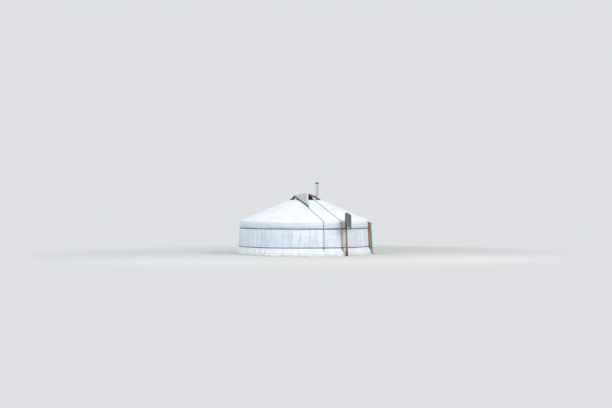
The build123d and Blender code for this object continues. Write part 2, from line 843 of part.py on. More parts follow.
with BuildPart() as panel_mast:
    for height in (-mast_foot_size, mast_length):
        with BuildSketch(Plane(origin=mast_point(height), z_dir=mast_run)):
            Circle(mast_size(height))
    loft(ruled=True)
    split(bisect_by=Plane.XY, keep=Keep.TOP)
save(panel_mast.part, "panel_mast")

facing = radians(panel_facing)
tilt = radians(panel_tilt)
panel_normal = Vector(cos(facing) * cos(tilt), sin(facing) * cos(tilt), sin(tilt))
panel_level_edge = Vector(-sin(facing), cos(facing), 0)
panel_middle = Vector(*mast_point(panel_level)) + panel_normal * panel_standoff
panel_rising_edge = panel_normal.cross(panel_level_edge)
roll = radians(panel_roll)
panel_x = panel_level_edge * cos(roll) - panel_rising_edge * sin(roll)
panel_plane = Plane(origin=panel_middle, x_dir=panel_x, z_dir=panel_normal)
with BuildPart() as solar_panel:
    with BuildSketch(panel_plane.offset(-panel_thickness / 2)):
        Rectangle(panel_width, panel_height)
    extrude(amount=panel_thickness)
    with BuildSketch(panel_plane.offset(panel_thickness / 2 - panel_recess)):
        Rectangle(panel_width - 2 * panel_rim, panel_height - 2 * panel_rim)
    extrude(amount=panel_recess, mode=Mode.SUBTRACT)
save(solar_panel.part, "solar_panel")

rail_length, rail_width, rail_depth = bracket_rail
panel_back = -panel_thickness / 2 - seat_gap
clamp_plane = Plane(origin=mast_point(panel_level), z_dir=mast_run)
clamp_bore = mast_size(panel_level - clamp_height / 2) + seat_gap
with BuildPart() as panel_bracket:
    with BuildSketch(clamp_plane.offset(-clamp_height / 2)):
        Circle(clamp_bore + clamp_wall)
    extrude(amount=clamp_height)
    with BuildSketch(panel_plane.offset(panel_back)):
        Rectangle(rail_length, rail_width)
    extrude(amount=-rail_depth)
    with BuildSketch(panel_plane.offset(panel_back)):
        Rectangle(bracket_arm, bracket_arm)
    extrude(amount=-(panel_standoff + panel_back))
    with BuildSketch(clamp_plane.offset(-panel_height)):
        Circle(clamp_bore)
    extrude(amount=2 * panel_height, mode=Mode.SUBTRACT)
save(panel_bracket.part, "panel_bracket")

# A loop of strap ties the mast to the upper belt
lashing_bottom = upper_belt_middle - lashing_width / 2
loop_size = mast_size(lashing_bottom) + lashing_gap + lashing_thickness
belt_reach = flat_radius(upper_belt_inner + belt_thickness, mast_angle) + lean(lashing_bottom) + seat_gap
with BuildPart() as mast_lashing:
    with BuildSketch(Plane(origin=(0, 0, lashing_bottom), x_dir=round_point(1, mast_angle, 0), z_dir=(0, 0, 1))):
        with Locations((mast_foot_radius - upper_belt_middle * tan(mast_tilt), 0)):
            Circle(loop_size)
        with Locations((belt_reach + lashing_nose, 0)):
            Circle(lashing_nose)
        make_hull()
        offset(amount=-lashing_thickness, mode=Mode.SUBTRACT)
    extrude(amount=lashing_width)
save(mast_lashing.part, "mast_lashing")
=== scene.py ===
from functools import partial
from math import asin, atan, ceil, cos, degrees, dist, exp, pi, radians, sin, sqrt, tan

import bpy
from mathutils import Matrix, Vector, noise


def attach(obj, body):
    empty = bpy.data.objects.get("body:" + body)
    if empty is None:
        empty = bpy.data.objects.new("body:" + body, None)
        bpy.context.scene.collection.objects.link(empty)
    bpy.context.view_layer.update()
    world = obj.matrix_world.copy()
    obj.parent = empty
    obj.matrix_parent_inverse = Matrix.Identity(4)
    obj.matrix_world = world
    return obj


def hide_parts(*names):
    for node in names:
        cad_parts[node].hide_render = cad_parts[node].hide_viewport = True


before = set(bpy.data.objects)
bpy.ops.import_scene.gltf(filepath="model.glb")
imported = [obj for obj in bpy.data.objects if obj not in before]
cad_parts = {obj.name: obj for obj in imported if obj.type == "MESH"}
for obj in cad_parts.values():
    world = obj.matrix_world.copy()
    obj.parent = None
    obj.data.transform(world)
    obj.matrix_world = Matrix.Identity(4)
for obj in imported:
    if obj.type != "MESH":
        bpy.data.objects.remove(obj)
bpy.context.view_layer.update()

# Sizes shared with the part's source, in metres. Z is up, the door faces -Y, angles are from +X.
WALL_RADIUS = 2.890
WALL_LEAN = radians(3)
HEAD_HEIGHT = 1.395
SLAT_THICKNESS = 0.012
DOOR_WIDTH = 0.900
FRAME_FRONT = 2.935
SEAT_GAP = 0.0004
LAYER_GAP = 0.0005
POLE_GAP = 0.0006
VALANCE_GAP = 0.004
COLUMNS = 50
POLES_OVER_DOOR = 2
POLE_RISE = 0.064
POLE_SIZE = 0.040
RING_OUTER = 0.740
RING_TOP = 2.435
POLE_ENTRY = 2.376
FELT = 0.025
FELT_HEIGHT = 1.400
FELT_SETBACK = 0.016
CANVAS = 0.006
CANVAS_FOOT = 0.012
CANVAS_DROP = 0.005
COVER_SETBACK = 0.012
VALANCE_BOTTOM = 1.155
EAVE_BEVEL = 0.014
HOOD_REACH = 0.070
HOOD_HEM = 0.030
SKIRT_TOP = 0.415
SKIRT_BREAK = 0.340
SKIRT_FLARE = 0.150
SKIRT_THICKNESS = 0.008
BELT_HEIGHT = 0.034
BELT_THICKNESS = 0.008
UPPER_BELT = 1.180
LOWER_BELT = 0.362

HALF_DOOR = asin((DOOR_WIDTH / 2 + SEAT_GAP) / (WALL_RADIUS - SLAT_THICKNESS))
START = -pi / 2 + HALF_DOOR
COLUMN = (2 * pi - 2 * HALF_DOOR) / COLUMNS
DOOR_STEP = 2 * HALF_DOOR / (POLES_OVER_DOOR + 1)
SLOPE = (POLE_ENTRY - HEAD_HEIGHT - POLE_RISE) / (WALL_RADIUS - RING_OUTER)
SLOPE_COS = cos(atan(SLOPE))
FELT_INNER = WALL_RADIUS + SLAT_THICKNESS + LAYER_GAP
FELT_OUTER = FELT_INNER + FELT
CANVAS_INNER = FELT_OUTER + LAYER_GAP
CANVAS_OUTER = CANVAS_INNER + CANVAS
EAVE_FACE = CANVAS_OUTER + VALANCE_GAP + CANVAS
SKIRT_INNER = CANVAS_OUTER + LAYER_GAP
SKIRT_OUTER = SKIRT_INNER + SKIRT_THICKNESS
CANVAS_BED = FELT + LAYER_GAP
CANVAS_FACE = CANVAS_BED + CANVAS
FELT_EAVE = FELT_OUTER - FELT_SETBACK


def lean(height):
    """How much wider the wall is at this height than at its top crossings."""
    return (HEAD_HEIGHT - height) * tan(WALL_LEAN)


def above_poles(radius, offset):
    """Height of a surface this far above the roof poles."""
    middle = POLE_ENTRY - (radius - RING_OUTER) * SLOPE
    return middle + (POLE_SIZE / 2 + POLE_GAP + offset) / SLOPE_COS


def eave_corner(face, offset):
    """Radius where a hanging face meets a surface over the poles."""
    shift = tan(WALL_LEAN)
    return (face + lean(above_poles(0, offset))) / (1 - shift * SLOPE)


# Finishes: colours are sRGB codes, and the sizes of patterns and bumps are in millimetres
# Real canvas has a thread every 0.6. It is drawn four times as coarse, so that it shows from close by
THREAD = 2.381
# Real hairs are 0.1 and less. They are drawn in clumps and twists this wide, for the same reason
FIBRE = 1.111
HAIR_TWIST = 1.429
# Steps of the herringbone along the belt and up it. It slants so much that it shows as fine rows
HERRINGBONE = 18.18
HERRINGBONE_ROWS = 33.33
# Half widths of a flat seam, as real ones are, and of its stitches, which are thicker than real thread
SEAM_HALF = 11
STITCH_HALF = 1.5
# The coarsest grain and scratches, across and along. Finer ones lie between them
PAINTED_GRAIN = (14.29, 14.29, 200)
PEELED_GRAIN = (8.333, 8.333, 250)
SCRATCH = (3.333, 3.333, 71.43)
# Grey of the upright streaks: partly painted shade of wrinkle valleys, partly rain streaks
WRINKLE_SHADE_AND_RAIN_GREY = "b6c4d2"
# Darker painted shade in level bands low on the roof canvas's hanging edge
SWAG_SHADE_GREY = "a3b3c4"
STITCH_GREY = "8f969c"
# Which inputs and output of a mix node are its two colours and their mixture
BELOW, ABOVE, MIXED = 6, 7, 2


def linear(code):
    """A linear colour from an sRGB hex code."""
    parts = [int(code[i:i + 2], 16) / 255 for i in (0, 2, 4)]
    return (*[c / 12.92 if c <= 0.04045 else ((c + 0.055) / 1.055) ** 2.4 for c in parts], 1.0)


def add(tree, kind, inputs=None, out=0, **settings):
    """Adds a shader node with its settings, values and links, and gives one output, or all for None."""
    made = tree.nodes.new("ShaderNode" + kind)
    for key, value in settings.items():
        setattr(made, key, value)
    for key, value in (inputs or {}).items():
        if isinstance(value, bpy.types.NodeSocket):
            tree.links.new(value, made.inputs[key])
        else:
            made.inputs[key].default_value = linear(value) if isinstance(value, str) else value
    return made.outputs[:] if out is None else made.outputs[out]


def span(low, high, start=0.0, end=1.0):
    """Inputs that turn low to high into start to end."""
    return {"From Min": low, "From Max": high, "To Min": start, "To Max": end}


class Finish:
    """A material as it is built up: its nodes, its shader and the place on the piece in metres."""

    def __init__(self, name, roughness, **shader):
        self.material = bpy.data.materials.new(name)
        self.material.use_nodes = True
        self.material.node_tree.nodes.clear()
        self.add = partial(add, self.material.node_tree)
        self.place = self.add("TexCoord", out="Object")
        self.shader = self.add("BsdfPrincipled", {"Roughness": roughness, **shader}).node
        self.add("OutputMaterial", {"Surface": self.shader.outputs[0]}, out=None)

    def lumps(self, size, detail=4.0, fade=None, place=None, rough=0.55):
        """A cloudy pattern with lumps of this size, alike in all directions or with a size for each.

        fade has the low and high end of the pattern that shows, and may have what they turn into.
        """
        place = place or self.place
        if isinstance(size, tuple):
            scales = [1000 / length for length in (*size, 1000)[:3]]
            place = self.add("VectorMath", {0: place, 1: scales}, operation="MULTIPLY")
            size = 1000
        pattern = self.add(
            "TexNoise", {"Vector": place, "Scale": 1000 / size, "Detail": detail, "Roughness": rough}
        )
        return self.add("MapRange", {"Value": pattern, **span(*fade)}) if fade else pattern

    def lay(self, below, above, amount, strength=1.0):
        """One colour laid over another where amount says, at this strength."""
        share = self.add("Math", {0: amount, 1: strength}, operation="MULTIPLY")
        return self.add("Mix", {0: share, BELOW: below, ABOVE: above}, MIXED, data_type="RGBA")

    def threads(self, value, spacing):
        """Rounded threads this far apart, from -1 between them to 1 on them."""
        turns = self.add("Math", {0: value, 1: 2 * pi * 1000 / spacing}, operation="MULTIPLY")
        return self.add("Math", {0: turns}, operation="SINE")

    def done(self, colour, bumps=(), rough=None):
        """The finished material. Each bump is a height pattern, its depth and its strength."""
        links = self.material.node_tree.links
        links.new(colour, self.shader.inputs["Base Color"])
        if rough:
            links.new(rough, self.shader.inputs["Roughness"])
        bump = {}
        for height, depth, strength in bumps:
            bump.update({"Height": height, "Distance": depth / 1000, "Strength": strength})
            bump["Normal"] = self.add("Bump", bump)
        if bumps:
            links.new(bump["Normal"], self.shader.inputs["Normal"])
        return self.material


def round_place(f):
    """A place unrolled from the wall, its run from the back in metres, and its height."""
    x, y, z = f.add("SeparateXYZ", {0: f.place}, out=None)
    turn = f.add("Math", {0: x, 1: y}, operation="ARCTAN2")
    run = f.add("Math", {0: turn, 1: WALL_RADIUS}, operation="MULTIPLY")
    return f.add("CombineXYZ", {0: run, 1: z}), run, z


def canvas_finish(name, colours, dirt_top, dirt_amount, crease=0.5, width=1.1, valance_shade=None, streak=0.45):
    """Woven cotton canvas, sewn in widths: matt and faintly hairy, so it has no clear highlight.

    The eye sees faded patches, upright grey streaks, seams with stitches along both edges, soft
    creases, and dust splashed up from the ground. The streaks are partly rain streaks and partly
    painted shade of wrinkle valleys. On the roof, valance_shade is painted shade on the hanging
    edge, which creases level, with darker painted shade in level bands low on it.
    """
    f = Finish(name, 0.9, **{"Sheen Weight": 0.15, "Specular IOR Level": 0.25})
    unrolled, run, z = round_place(f)
    clean, shade, dirt = colours
    patches = f.lumps(769, 5.0, (0.35, 0.7))
    # Upright grey streaks: partly painted shade of wrinkle valleys, partly rain streaks
    streaks = f.lumps((90.9, 1250), 5.0, (0.48, 0.66, 0.0, streak), unrolled)
    body = f.lay(f.lay(clean, shade, patches), WRINKLE_SHADE_AND_RAIN_GREY, streaks)
    # On the roof: painted shade makes the hanging edge greyer below the eave, and darker painted shade lies
    # in level bands low on it
    if valance_shade:
        valance_shade_share = f.add("MapRange", {"Value": z, **span(1.44, 1.48, 1.0, 0.0)})
        hanging = f.add("MapRange", {"Value": z, **span(1.17, 1.40, 1.0, 0.0)})
        lines = f.lumps((1111, 62.5), 4.0, (0.42, 0.62, 0.2, 0.8), unrolled)
        low = f.add("Math", {0: hanging, 1: lines}, operation="MULTIPLY")
        body = f.lay(f.lay(body, valance_shade, valance_shade_share, 0.55), SWAG_SHADE_GREY, low)
    splashed = f.add("MapRange", {"Value": z, **span(0.0, dirt_top, 1.0, 0.0)})
    spots = f.lumps(142.9, 6.0, (0.35, 0.7, 0.25, 1.0))
    dust = f.add("Math", {0: splashed, 1: spots}, operation="MULTIPLY")
    body = f.lay(body, dirt, dust, dirt_amount)
    # A flat seam at every width of cloth, with a row of stitches along each edge
    from_middle = f.add("Math", {0: run, 1: width / 2})
    from_seam = f.add("Math", {0: from_middle, 1: width / 2}, operation="PINGPONG")
    seam = f.add("Math", {0: from_seam, 1: SEAM_HALF / 1000}, operation="LESS_THAN")
    edge = {0: from_seam, 1: SEAM_HALF / 1000, 2: STITCH_HALF / 1000}
    stitches = f.add("Math", edge, operation="COMPARE")
    body = f.lay(body, STITCH_GREY, stitches, 0.35)
    broad = f.lumps((151.5, 476), 3.0, None, unrolled, 0.5)
    small = f.lumps((55.56, 208.3), 5.0, None, unrolled, 0.6)
    weave = f.add("Math", {0: f.threads(run, THREAD), 1: f.threads(z, THREAD)})
    fibres = f.lumps(FIBRE, 2.0)
    creases = ((broad, 30, crease), (small, 12, crease))
    return f.done(body, (*creases, (seam, 1.2, 0.6), (weave, 0.4, 0.25), (fibres, 0.4, 0.2)))


def felt_finish():
    """Pressed wool felt: grey-white, lumpy and hairy, with darker hairs pressed in."""
    f = Finish("pressed_wool_felt", 0.95, **{"Sheen Weight": 0.3, "Specular IOR Level": 0.1})
    patches = f.lumps(111.1, 6.0)
    dark_hairs = f.lumps(6.25, 3.0, (0.5, 0.75, 0.0, 0.5))
    body = f.lay(f.lay("c9c2b2", "a39b8b", patches), "7f786b", dark_hairs)
    return f.done(body, ((f.lumps(25), 4, 0.5), (f.lumps(2, 3.0), 1, 0.6)))


def webbing_finish():
    """Woven horsehair webbing: a herringbone of two browns, dull, with dust in the weave."""
    f = Finish("woven_horsehair_webbing", 0.85, **{"Sheen Weight": 0.2})
    _, run, z = round_place(f)
    zigzag = f.add("Math", {0: f.threads(z, HERRINGBONE_ROWS)}, operation="ABSOLUTE")
    weave = f.threads(f.add("Math", {0: run, 1: zigzag}), HERRINGBONE)
    pale = f.add("MapRange", {"Value": weave, **span(0.35, 0.6)})
    dust = f.lumps(28.57, 5.0, (0.5, 0.75, 0.0, 0.6))
    body = f.lay(f.lay("574a40", "806f60", pale), "85776c", dust)
    return f.done(body, ((weave, 1.5, 0.6), (f.lumps(HAIR_TWIST, 3.0), 0.8, 0.5)))


def rope_finish():
    """Laid horsehair rope: dark and pale hairs mixed in each strand, rough to the eye."""
    f = Finish("laid_horsehair_rope", 0.9, **{"Sheen Weight": 0.25})
    pale_hairs = f.lumps(8.333, 4.0, (0.45, 0.6))
    dust = f.lumps(HAIR_TWIST, 2.0, (0.5, 0.8, 0.0, 0.6))
    body = f.lay(f.lay("3b342e", "8d8172", pale_hairs), "5c5247", dust)
    return f.done(body, ((f.lumps(FIBRE, 3.0), 0.6, 0.7),))


def paint_finish(name, paint, faded, bare, wear, roughness, painted_shade=None):
    """Oil paint brushed on wood: half gloss over raised grain, faded in patches, chipped to the wood.

    painted_shade is the colour of painted shade laid on what lies behind the stovepipe, towards +Y.
    """
    f = Finish(name, roughness, **{"Coat Weight": 0.15, "Coat Roughness": 0.35})
    grain = f.lumps(PAINTED_GRAIN, 7.0)
    raised = f.add("MapRange", {"Value": grain, **span(0.6, 0.78, 0.0, 0.5)})
    patches = f.lumps(200, 5.0, (0.4, 0.72))
    worn = f.lumps(400, 6.0, (0.45, 0.75))
    chips = f.lumps(29.41, 7.0, (wear, wear + 0.03))
    body = f.lay(f.lay(paint, faded, patches), faded, raised)
    body = f.lay(body, bare, worn, 0.35)
    if painted_shade:
        # Painted shade: darker towards +Y, on the crown's rear side
        y = f.add("SeparateXYZ", {0: f.place}, out=1)
        behind = f.add("MapRange", {"Value": y, **span(-0.1, 0.4)})
        body = f.lay(body, painted_shade, behind, 0.9)
    gloss = f.lumps(83.33, 4.0, (0.3, 0.8, roughness - 0.08, roughness + 0.15))
    return f.done(f.lay(body, bare, chips), ((grain, 1.2, 0.5), (chips, 0.4, 0.5)), gloss)


def mast_finish():
    """Peeled pine, weathered golden to grey-brown: coarse upright grain, dark towards both ends."""
    f = Finish("peeled_pine", 0.8)
    grain = f.lumps(PEELED_GRAIN, 8.0)
    middling = f.add("MapRange", {"Value": grain, **span(0.25, 0.5)})
    pale = f.add("MapRange", {"Value": grain, **span(0.5, 0.75)})
    body = f.lay(f.lay("6a5038", "9c7850", middling), "bd9865", pale)
    z = f.add("SeparateXYZ", {0: f.place}, out=2)
    foot = f.add("MapRange", {"Value": z, **span(0.1, 0.45, 0.75, 0.0)})
    top = f.add("MapRange", {"Value": z, **span(1.0, 1.3, 0.0, 0.8)})
    body = f.lay(body, "3a2c22", f.add("Math", {0: foot, 1: top}, operation="MAXIMUM"))
    knots = f.lumps(71.43, 5.0)
    return f.done(body, ((grain, 4, 0.7), (knots, 10, 0.4)))


def metal_finish(name, body, stain, metallic, roughness):
    """Rolled or forged metal: stains in patches, upright scratches that break the shine, slight dents."""
    f = Finish(name, roughness, Metallic=metallic)
    scratches = f.lumps(SCRATCH, 5.0)
    dull = span(0.3, 0.8, roughness - 0.1, roughness + 0.15)
    stains = f.lumps(90.9, 7.0, (0.55, 0.70))
    dents = f.lumps(55.56, 3.0)
    bumps = ((scratches, 0.3, 0.15), (dents, 1.5, 0.15))
    return f.done(f.lay(body, stain, stains), bumps, f.add("MapRange", {"Value": scratches, **dull}))


def cells_finish():
    """Silicon cells under glass: nearly black, with pale gaps, two bars and fine lines a cell, and dust.

    One step of the map is a cell: 119 across and 62 up.
    """
    gloss = {"Coat Weight": 0.08, "Coat Roughness": 0.05, "Specular IOR Level": 0.3}
    f = Finish("glazed_silicon_cells", 0.25, **gloss)
    u, v, _ = f.add("SeparateXYZ", {0: f.add("TexCoord", out="UV")}, out=None)

    def part(value, count, shift=0.0):
        """How far on it is, from 0 to 1, in one of this many parts of a cell."""
        many = f.add("Math", {0: value, 1: count, 2: shift}, operation="MULTIPLY_ADD")
        return f.add("Math", {0: many}, operation="FRACT")

    # Pale where it is half a part on, which the shift moves to the edge between two cells
    pale = f.add("Math", {0: part(u, 2.0), 1: 0.5, 2: 0.03}, operation="COMPARE")
    for value, half in ((u, 0.020), (v, 0.030)):
        gap = f.add("Math", {0: part(value, 1.0, 0.5), 1: 0.5, 2: half}, operation="COMPARE")
        pale = f.add("Math", {0: pale, 1: gap}, operation="MAXIMUM")
    fingers = f.add("Math", {0: part(v, 18.0), 1: 0.86}, operation="GREATER_THAN")
    crystals = f.lumps(62.5, 3.0, (0.35, 0.65))
    dust = f.lumps((333, 333, 111), 4.0, (0.5, 0.75, 0.0, 0.22))
    body = f.lay(f.lay("0d1a1c", "16292a", crystals), "55676a", fingers, 0.10)
    return f.done(f.lay(f.lay(body, "9fb0ae", pale), "93a39b", dust))


def seen_in_picture(tree):
    """1 for what the camera sees straight or in metal and glass, 0 for light that falls on the tent."""
    rays = add(tree, "LightPath").node.outputs
    seen = rays["Is Camera Ray"]
    for other in ("Is Glossy Ray", "Is Transmission Ray"):
        seen = add(tree, "Math", {0: seen, 1: rays[other]}, operation="MAXIMUM")
    return seen


def floor_finish():
    """Matt pale floor, which far out turns into the plain backdrop where it is seen."""
    f = Finish("studio_floor", 0.9, **{"Base Color": FLOOR_COLOUR})
    x, y, _ = f.add("SeparateXYZ", {0: f.place}, out=None)
    ground = f.add("CombineXYZ", {0: x, 1: y})
    reach = f.add("VectorMath", {0: ground}, "Value", operation="LENGTH")
    far = f.add("MapRange", {"Value": reach, **span(6.0, 14.0)}, interpolation_type="SMOOTHSTEP")
    amount = f.add("Math", {0: far, 1: seen_in_picture(f.material.node_tree)}, operation="MULTIPLY")
    plain = f.add("Emission", {"Color": BACKDROP, "Strength": 1.0})
    both = f.add("MixShader", {0: amount, 1: f.shader.outputs[0], 2: plain})
    surface = f.shader.outputs[0].links[0].to_node.inputs["Surface"]
    f.material.node_tree.links.new(both, surface)
    return f.material


FLOOR_COLOUR = "d9d8d4"
BACKDROP = "dfe1e4"
# One white cloth in three copies: painted light makes the roof and the skirt whiter, and painted shade makes
# the wall bluer and greyer
LIT_ROOF_COLOURS = ("f6f7f9", "e9edf2", "b9b4a8")
SHADED_WALL_COLOURS = ("e9eff6", "d2dcea", "a9a49a")
LIT_SKIRT_COLOURS = ("f3f5f7", "e0e5ec", "8f8878")
FLAP_COLOURS = ("c0c8c8", "9fa9ab", "8a8f86")
# Painted highlight: the flap's cloth drawn lighter along its front, where the top catches the light
HIGHLIGHT_RIDGE_COLOURS = ("e2e3f2", "cdd0e6", "8a8f86")
# Painted shadow: a dark band along the flap's rear edge, for the shadow under it where it lifts off the roof
SHADOW_BAND_COLOURS = ("3d3f41", "2c2d2f", "2a2a2a")
# The roof cloth has painted shade on its hanging edge
roof_cloth = canvas_finish(
    "woven_cotton_roof_canvas_painted_light", LIT_ROOF_COLOURS, 0.6, 0.1, crease=0.35, valance_shade="cfd9e4", streak=0.10
)
canvas = canvas_finish("woven_cotton_wall_canvas_painted_shade", SHADED_WALL_COLOURS, 0.5, 0.3, crease=1.0, streak=0.62)
skirt_canvas = canvas_finish(
    "woven_cotton_skirt_canvas_painted_light", LIT_SKIRT_COLOURS, 0.16, 0.6, crease=1.0, width=1.5, streak=0.35
)
flap_canvas = canvas_finish("woven_cotton_flap", FLAP_COLOURS, 0.3, 0.2, streak=0.3)
ridge_highlight_canvas = canvas_finish("woven_cotton_flap_front_painted_highlight", HIGHLIGHT_RIDGE_COLOURS, 0.3, 0.1)
shadow_band_canvas = canvas_finish("woven_cotton_flap_painted_shadow", SHADOW_BAND_COLOURS, 0.3, 0.1, streak=0.1)
felt = felt_finish()
webbing = webbing_finish()
rope = rope_finish()
# The crown paint has painted shade laid on its +Y side
crown_paint = paint_finish("brushed_oil_paint_crown", "9a4a1f", "54301c", "3f3026", 0.64, 0.6, painted_shade="2b2725")
orange_wood = paint_finish("brushed_oil_paint_orange", "c4511d", "b0431a", "8c6a48", 0.74, 0.5)
frame_paint = paint_finish("brushed_oil_paint_door_frame", "e8592a", "d04a20", "936f4e", 0.78, 0.42)
leaf_paint = paint_finish("brushed_oil_paint_door_leaf", "24c4b4", "3fbfb1", "6fa797", 0.80, 0.45)
mast_wood = mast_finish()
pipe_metal = metal_finish("hot_dip_galvanised_steel", "b9c6d6", "8f9bab", 0.75, 0.38)
sooty_metal = metal_finish("sooty_sheet_steel", "1d1d1f", "34302c", 0.4, 0.7)
dark_iron = metal_finish("forged_iron", "3b3a3a", "5a4436", 0.8, 0.5)
grey_iron = metal_finish("weathered_painted_steel", "6d7072", "54504c", 0.3, 0.5)
bright_iron = metal_finish("hand_worn_steel", "b8b2a6", "7c6d58", 0.9, 0.35)
panel_rim = metal_finish("anodised_aluminium", "5c6663", "454c4a", 0.7, 0.4)
panel_cells = cells_finish()


# Shapes
def add_mesh(name, points, faces, material, smooth=True):
    """A mesh object from points and faces."""
    mesh = bpy.data.meshes.new(name)
    mesh.from_pydata(points, [], faces)
    mesh.validate()
    for polygon in mesh.polygons:
        polygon.use_smooth = smooth
    piece = bpy.data.objects.new(name, mesh)
    bpy.context.scene.collection.objects.link(piece)
    if material:
        mesh.materials.append(material)
    return piece


def grid_faces(across, down):
    """Faces of a grid whose points run down one column after another."""
    rows = down + 1
    corners = [i * rows + j for i in range(across) for j in range(down)]
    return [(a, a + rows, a + rows + 1, a + 1) for a in corners]


def thicken(piece, thickness, side):
    """Gives a sheet its thickness, on one side of its faces or the other."""
    thick = piece.modifiers.new("thickness", "SOLIDIFY")
    thick.thickness = thickness
    thick.offset = side


def at(angle, radius, height):
    """A point round Z."""
    return Vector((radius * cos(angle), radius * sin(angle), height))


def directions(angle):
    """Level directions at this angle: away from Z, and along the wall."""
    return Vector((cos(angle), sin(angle), 0.0)), Vector((-sin(angle), cos(angle), 0.0))


def flat(angle):
    """How near a flat length of cover comes to Z at this angle, against its ends."""
    off = (angle - START) % (2 * pi)
    if off < 2 * pi - 2 * HALF_DOOR:
        step = COLUMN
    else:
        off -= 2 * pi - 2 * HALF_DOOR
        step = DOOR_STEP
    return cos(step / 2) / cos(off % step - step / 2)


def along(corners, count):
    """Points spaced evenly along a run of (radius, height) corners, keeping the corners."""
    lengths = [dist(a, b) for a, b in zip(corners, corners[1:])]
    total = sum(lengths)
    points = [corners[0]]
    for a, b, length in zip(corners, corners[1:], lengths):
        steps = max(1, round(count * length / total))
        for i in range(1, steps + 1):
            points.append((a[0] + (b[0] - a[0]) * i / steps, a[1] + (b[1] - a[1]) * i / steps))
    return points


def in_door_plane(x, forward, height):
    """A point in front of the leaning door frame: height is measured up the frame."""
    y = -FRAME_FRONT - forward * cos(WALL_LEAN) + height * sin(WALL_LEAN)
    return Vector((x, y, height * cos(WALL_LEAN) + forward * sin(WALL_LEAN)))


def smooth_step(low, high, value):
    """0 below low, 1 above high, smooth between."""
    share = min(1.0, max(0.0, (value - low) / (high - low)))
    return share * share * (3 - 2 * share)


def between(value, low, rising, falling, high):
    """0 outside low and high, 1 from rising to falling, smooth between."""
    return smooth_step(low, rising, value) * (1 - smooth_step(falling, high, value))


def cloud(x, y, seed):
    """Soft noise from about -1 to 1."""
    return noise.noise(Vector((x, y, seed)))


def fold(value):
    """A soft crease: sharp ridges between round hollows."""
    return 1 - sqrt(abs(sin(value)) + 0.02)


TURN_IN_GAP = 0.002


def cover(name, corners, first, last, across, down, thickness, material, shift, turned=(0, 0)):
    """A sheet over the wall or roof. Its outer face follows corners from angle first to last.

    It has this many steps across and down. shift(angle, radius, height) gives how far the cloth
    moves outward and up, and turned says in how many steps each end is turned in to the wall.
    """
    profile = along(corners, down)
    stations = [(first, 1 - i / turned[0]) for i in range(turned[0])]
    stations += [(first + (last - first) * i / across, 0.0) for i in range(across + 1)]
    stations += [(last, (i + 1) / turned[1]) for i in range(turned[1])]
    points = []
    for angle, inward in stations:
        share = flat(angle)
        for radius, height in profile:
            out, up = shift(angle, radius, height)
            wall = CANVAS_OUTER + lean(height) + TURN_IN_GAP
            spot = radius * share + out
            points.append(at(angle, spot + (wall - spot) * inward, height + up))
    piece = add_mesh(name, points, grid_faces(len(stations) - 1, len(profile) - 1), material)
    thicken(piece, thickness, 1.0)
    return piece


def eave_curve(top_radius, face, bottom, steps=5):
    """Corners of canvas down the slope that bends softly over the eave and hangs to bottom."""
    edge = eave_corner(face, CANVAS_FACE)
    level = above_poles(edge, CANVAS_FACE)
    back = edge - EAVE_BEVEL
    start, corner = (back, above_poles(back, CANVAS_FACE)), (edge, level)
    end = (face + lean(level - EAVE_BEVEL), level - EAVE_BEVEL)
    curve = list(zip(start, corner, end))
    bend = []
    for i in range(steps + 1):
        t = i / steps
        bend.append([a * (1 - t) ** 2 + 2 * b * t * (1 - t) + c * t * t for a, b, c in curve])
    return [(top_radius, above_poles(top_radius, CANVAS_FACE)), *bend, (face + lean(bottom), bottom)]


# What holds the covers: the door frame at both ends, and the ropes
FINAL = START + COLUMNS * COLUMN
FLAP_ROPE_EAVE = radians(25.5)
SIDE_ROPE = radians(42)
ROPE_ANGLES = (pi + FLAP_ROPE_EAVE, -FLAP_ROPE_EAVE, pi + SIDE_ROPE, -SIDE_ROPE)


def beside_door(angle):
    """0 where the covers are tied to the door frame, 1 away from it."""
    return smooth_step(0.0, 0.12, min(angle - START, FINAL - angle))


def loose(angle):
    """0 where a rope presses the covers or the door frame holds them, 1 between."""
    near = min(abs((angle - held + pi) % (2 * pi) - pi) for held in ROPE_ANGLES)
    return beside_door(angle) * smooth_step(0.003, 0.03, near)


# Wall canvas: upright wrinkles towards the back, slanting creases near the mast
# Heights and degrees between which it is free or wrinkled: where that begins, is full, ebbs and ends
WALL_FREE = (0.385, 0.44, 1.10, 1.155)
BACK_TURN = (80, 100, 138, 156)
CREASE_SIDE = radians(214)
CREASE_SPREAD = 0.19
UPRIGHT_FOLD = 0.026
FINE_FOLD = 0.014
SLANT_FOLD = 0.038
SAG_FOLD = 0.012
BELLY = 0.014
WALL_DRAWN_IN = 0.006
WALL_SHEET = 0.004
ROOF_SHEET = 0.005


def wall_folds(angle, radius, height):
    """Folds of the wall canvas, held still by the belts and the valance."""
    run = angle * WALL_RADIUS
    back = between(degrees(angle) % 360, *BACK_TURN)
    bunch = 0.40 + 0.60 * max(back, smooth_step(0.1, 0.6, cloud(run * 0.35, 0.2, 3.0)))
    warp = cloud(run * 1.1, height * 0.9, 7.0) * 1.6
    upright = fold(run * 6.0 + warp + height * 0.25) * UPRIGHT_FOLD * bunch
    fine = fold(run * 21.0 + warp * 3.0 + height * 0.7) * FINE_FOLD * bunch * (0.4 + 0.6 * back)
    near = exp(-(((angle - CREASE_SIDE) / CREASE_SPREAD) ** 2))
    bow = run * 3.6 + height * (4.5 + 3.0 * height) + warp * 0.6
    slant = fold(bow) * SLANT_FOLD * near * (1 - smooth_step(0.95, 1.12, height))
    belly = BELLY * smooth_step(-0.4, 0.4, cloud(run * 0.8, height * 1.4, 12.0))
    sag = fold(run * 1.5 + height * 9.0 + warp * 0.8) * SAG_FOLD
    free = between(height, *WALL_FREE) * loose(angle)
    return free * (upright + fine + slant + belly + sag - WALL_DRAWN_IN), 0.0


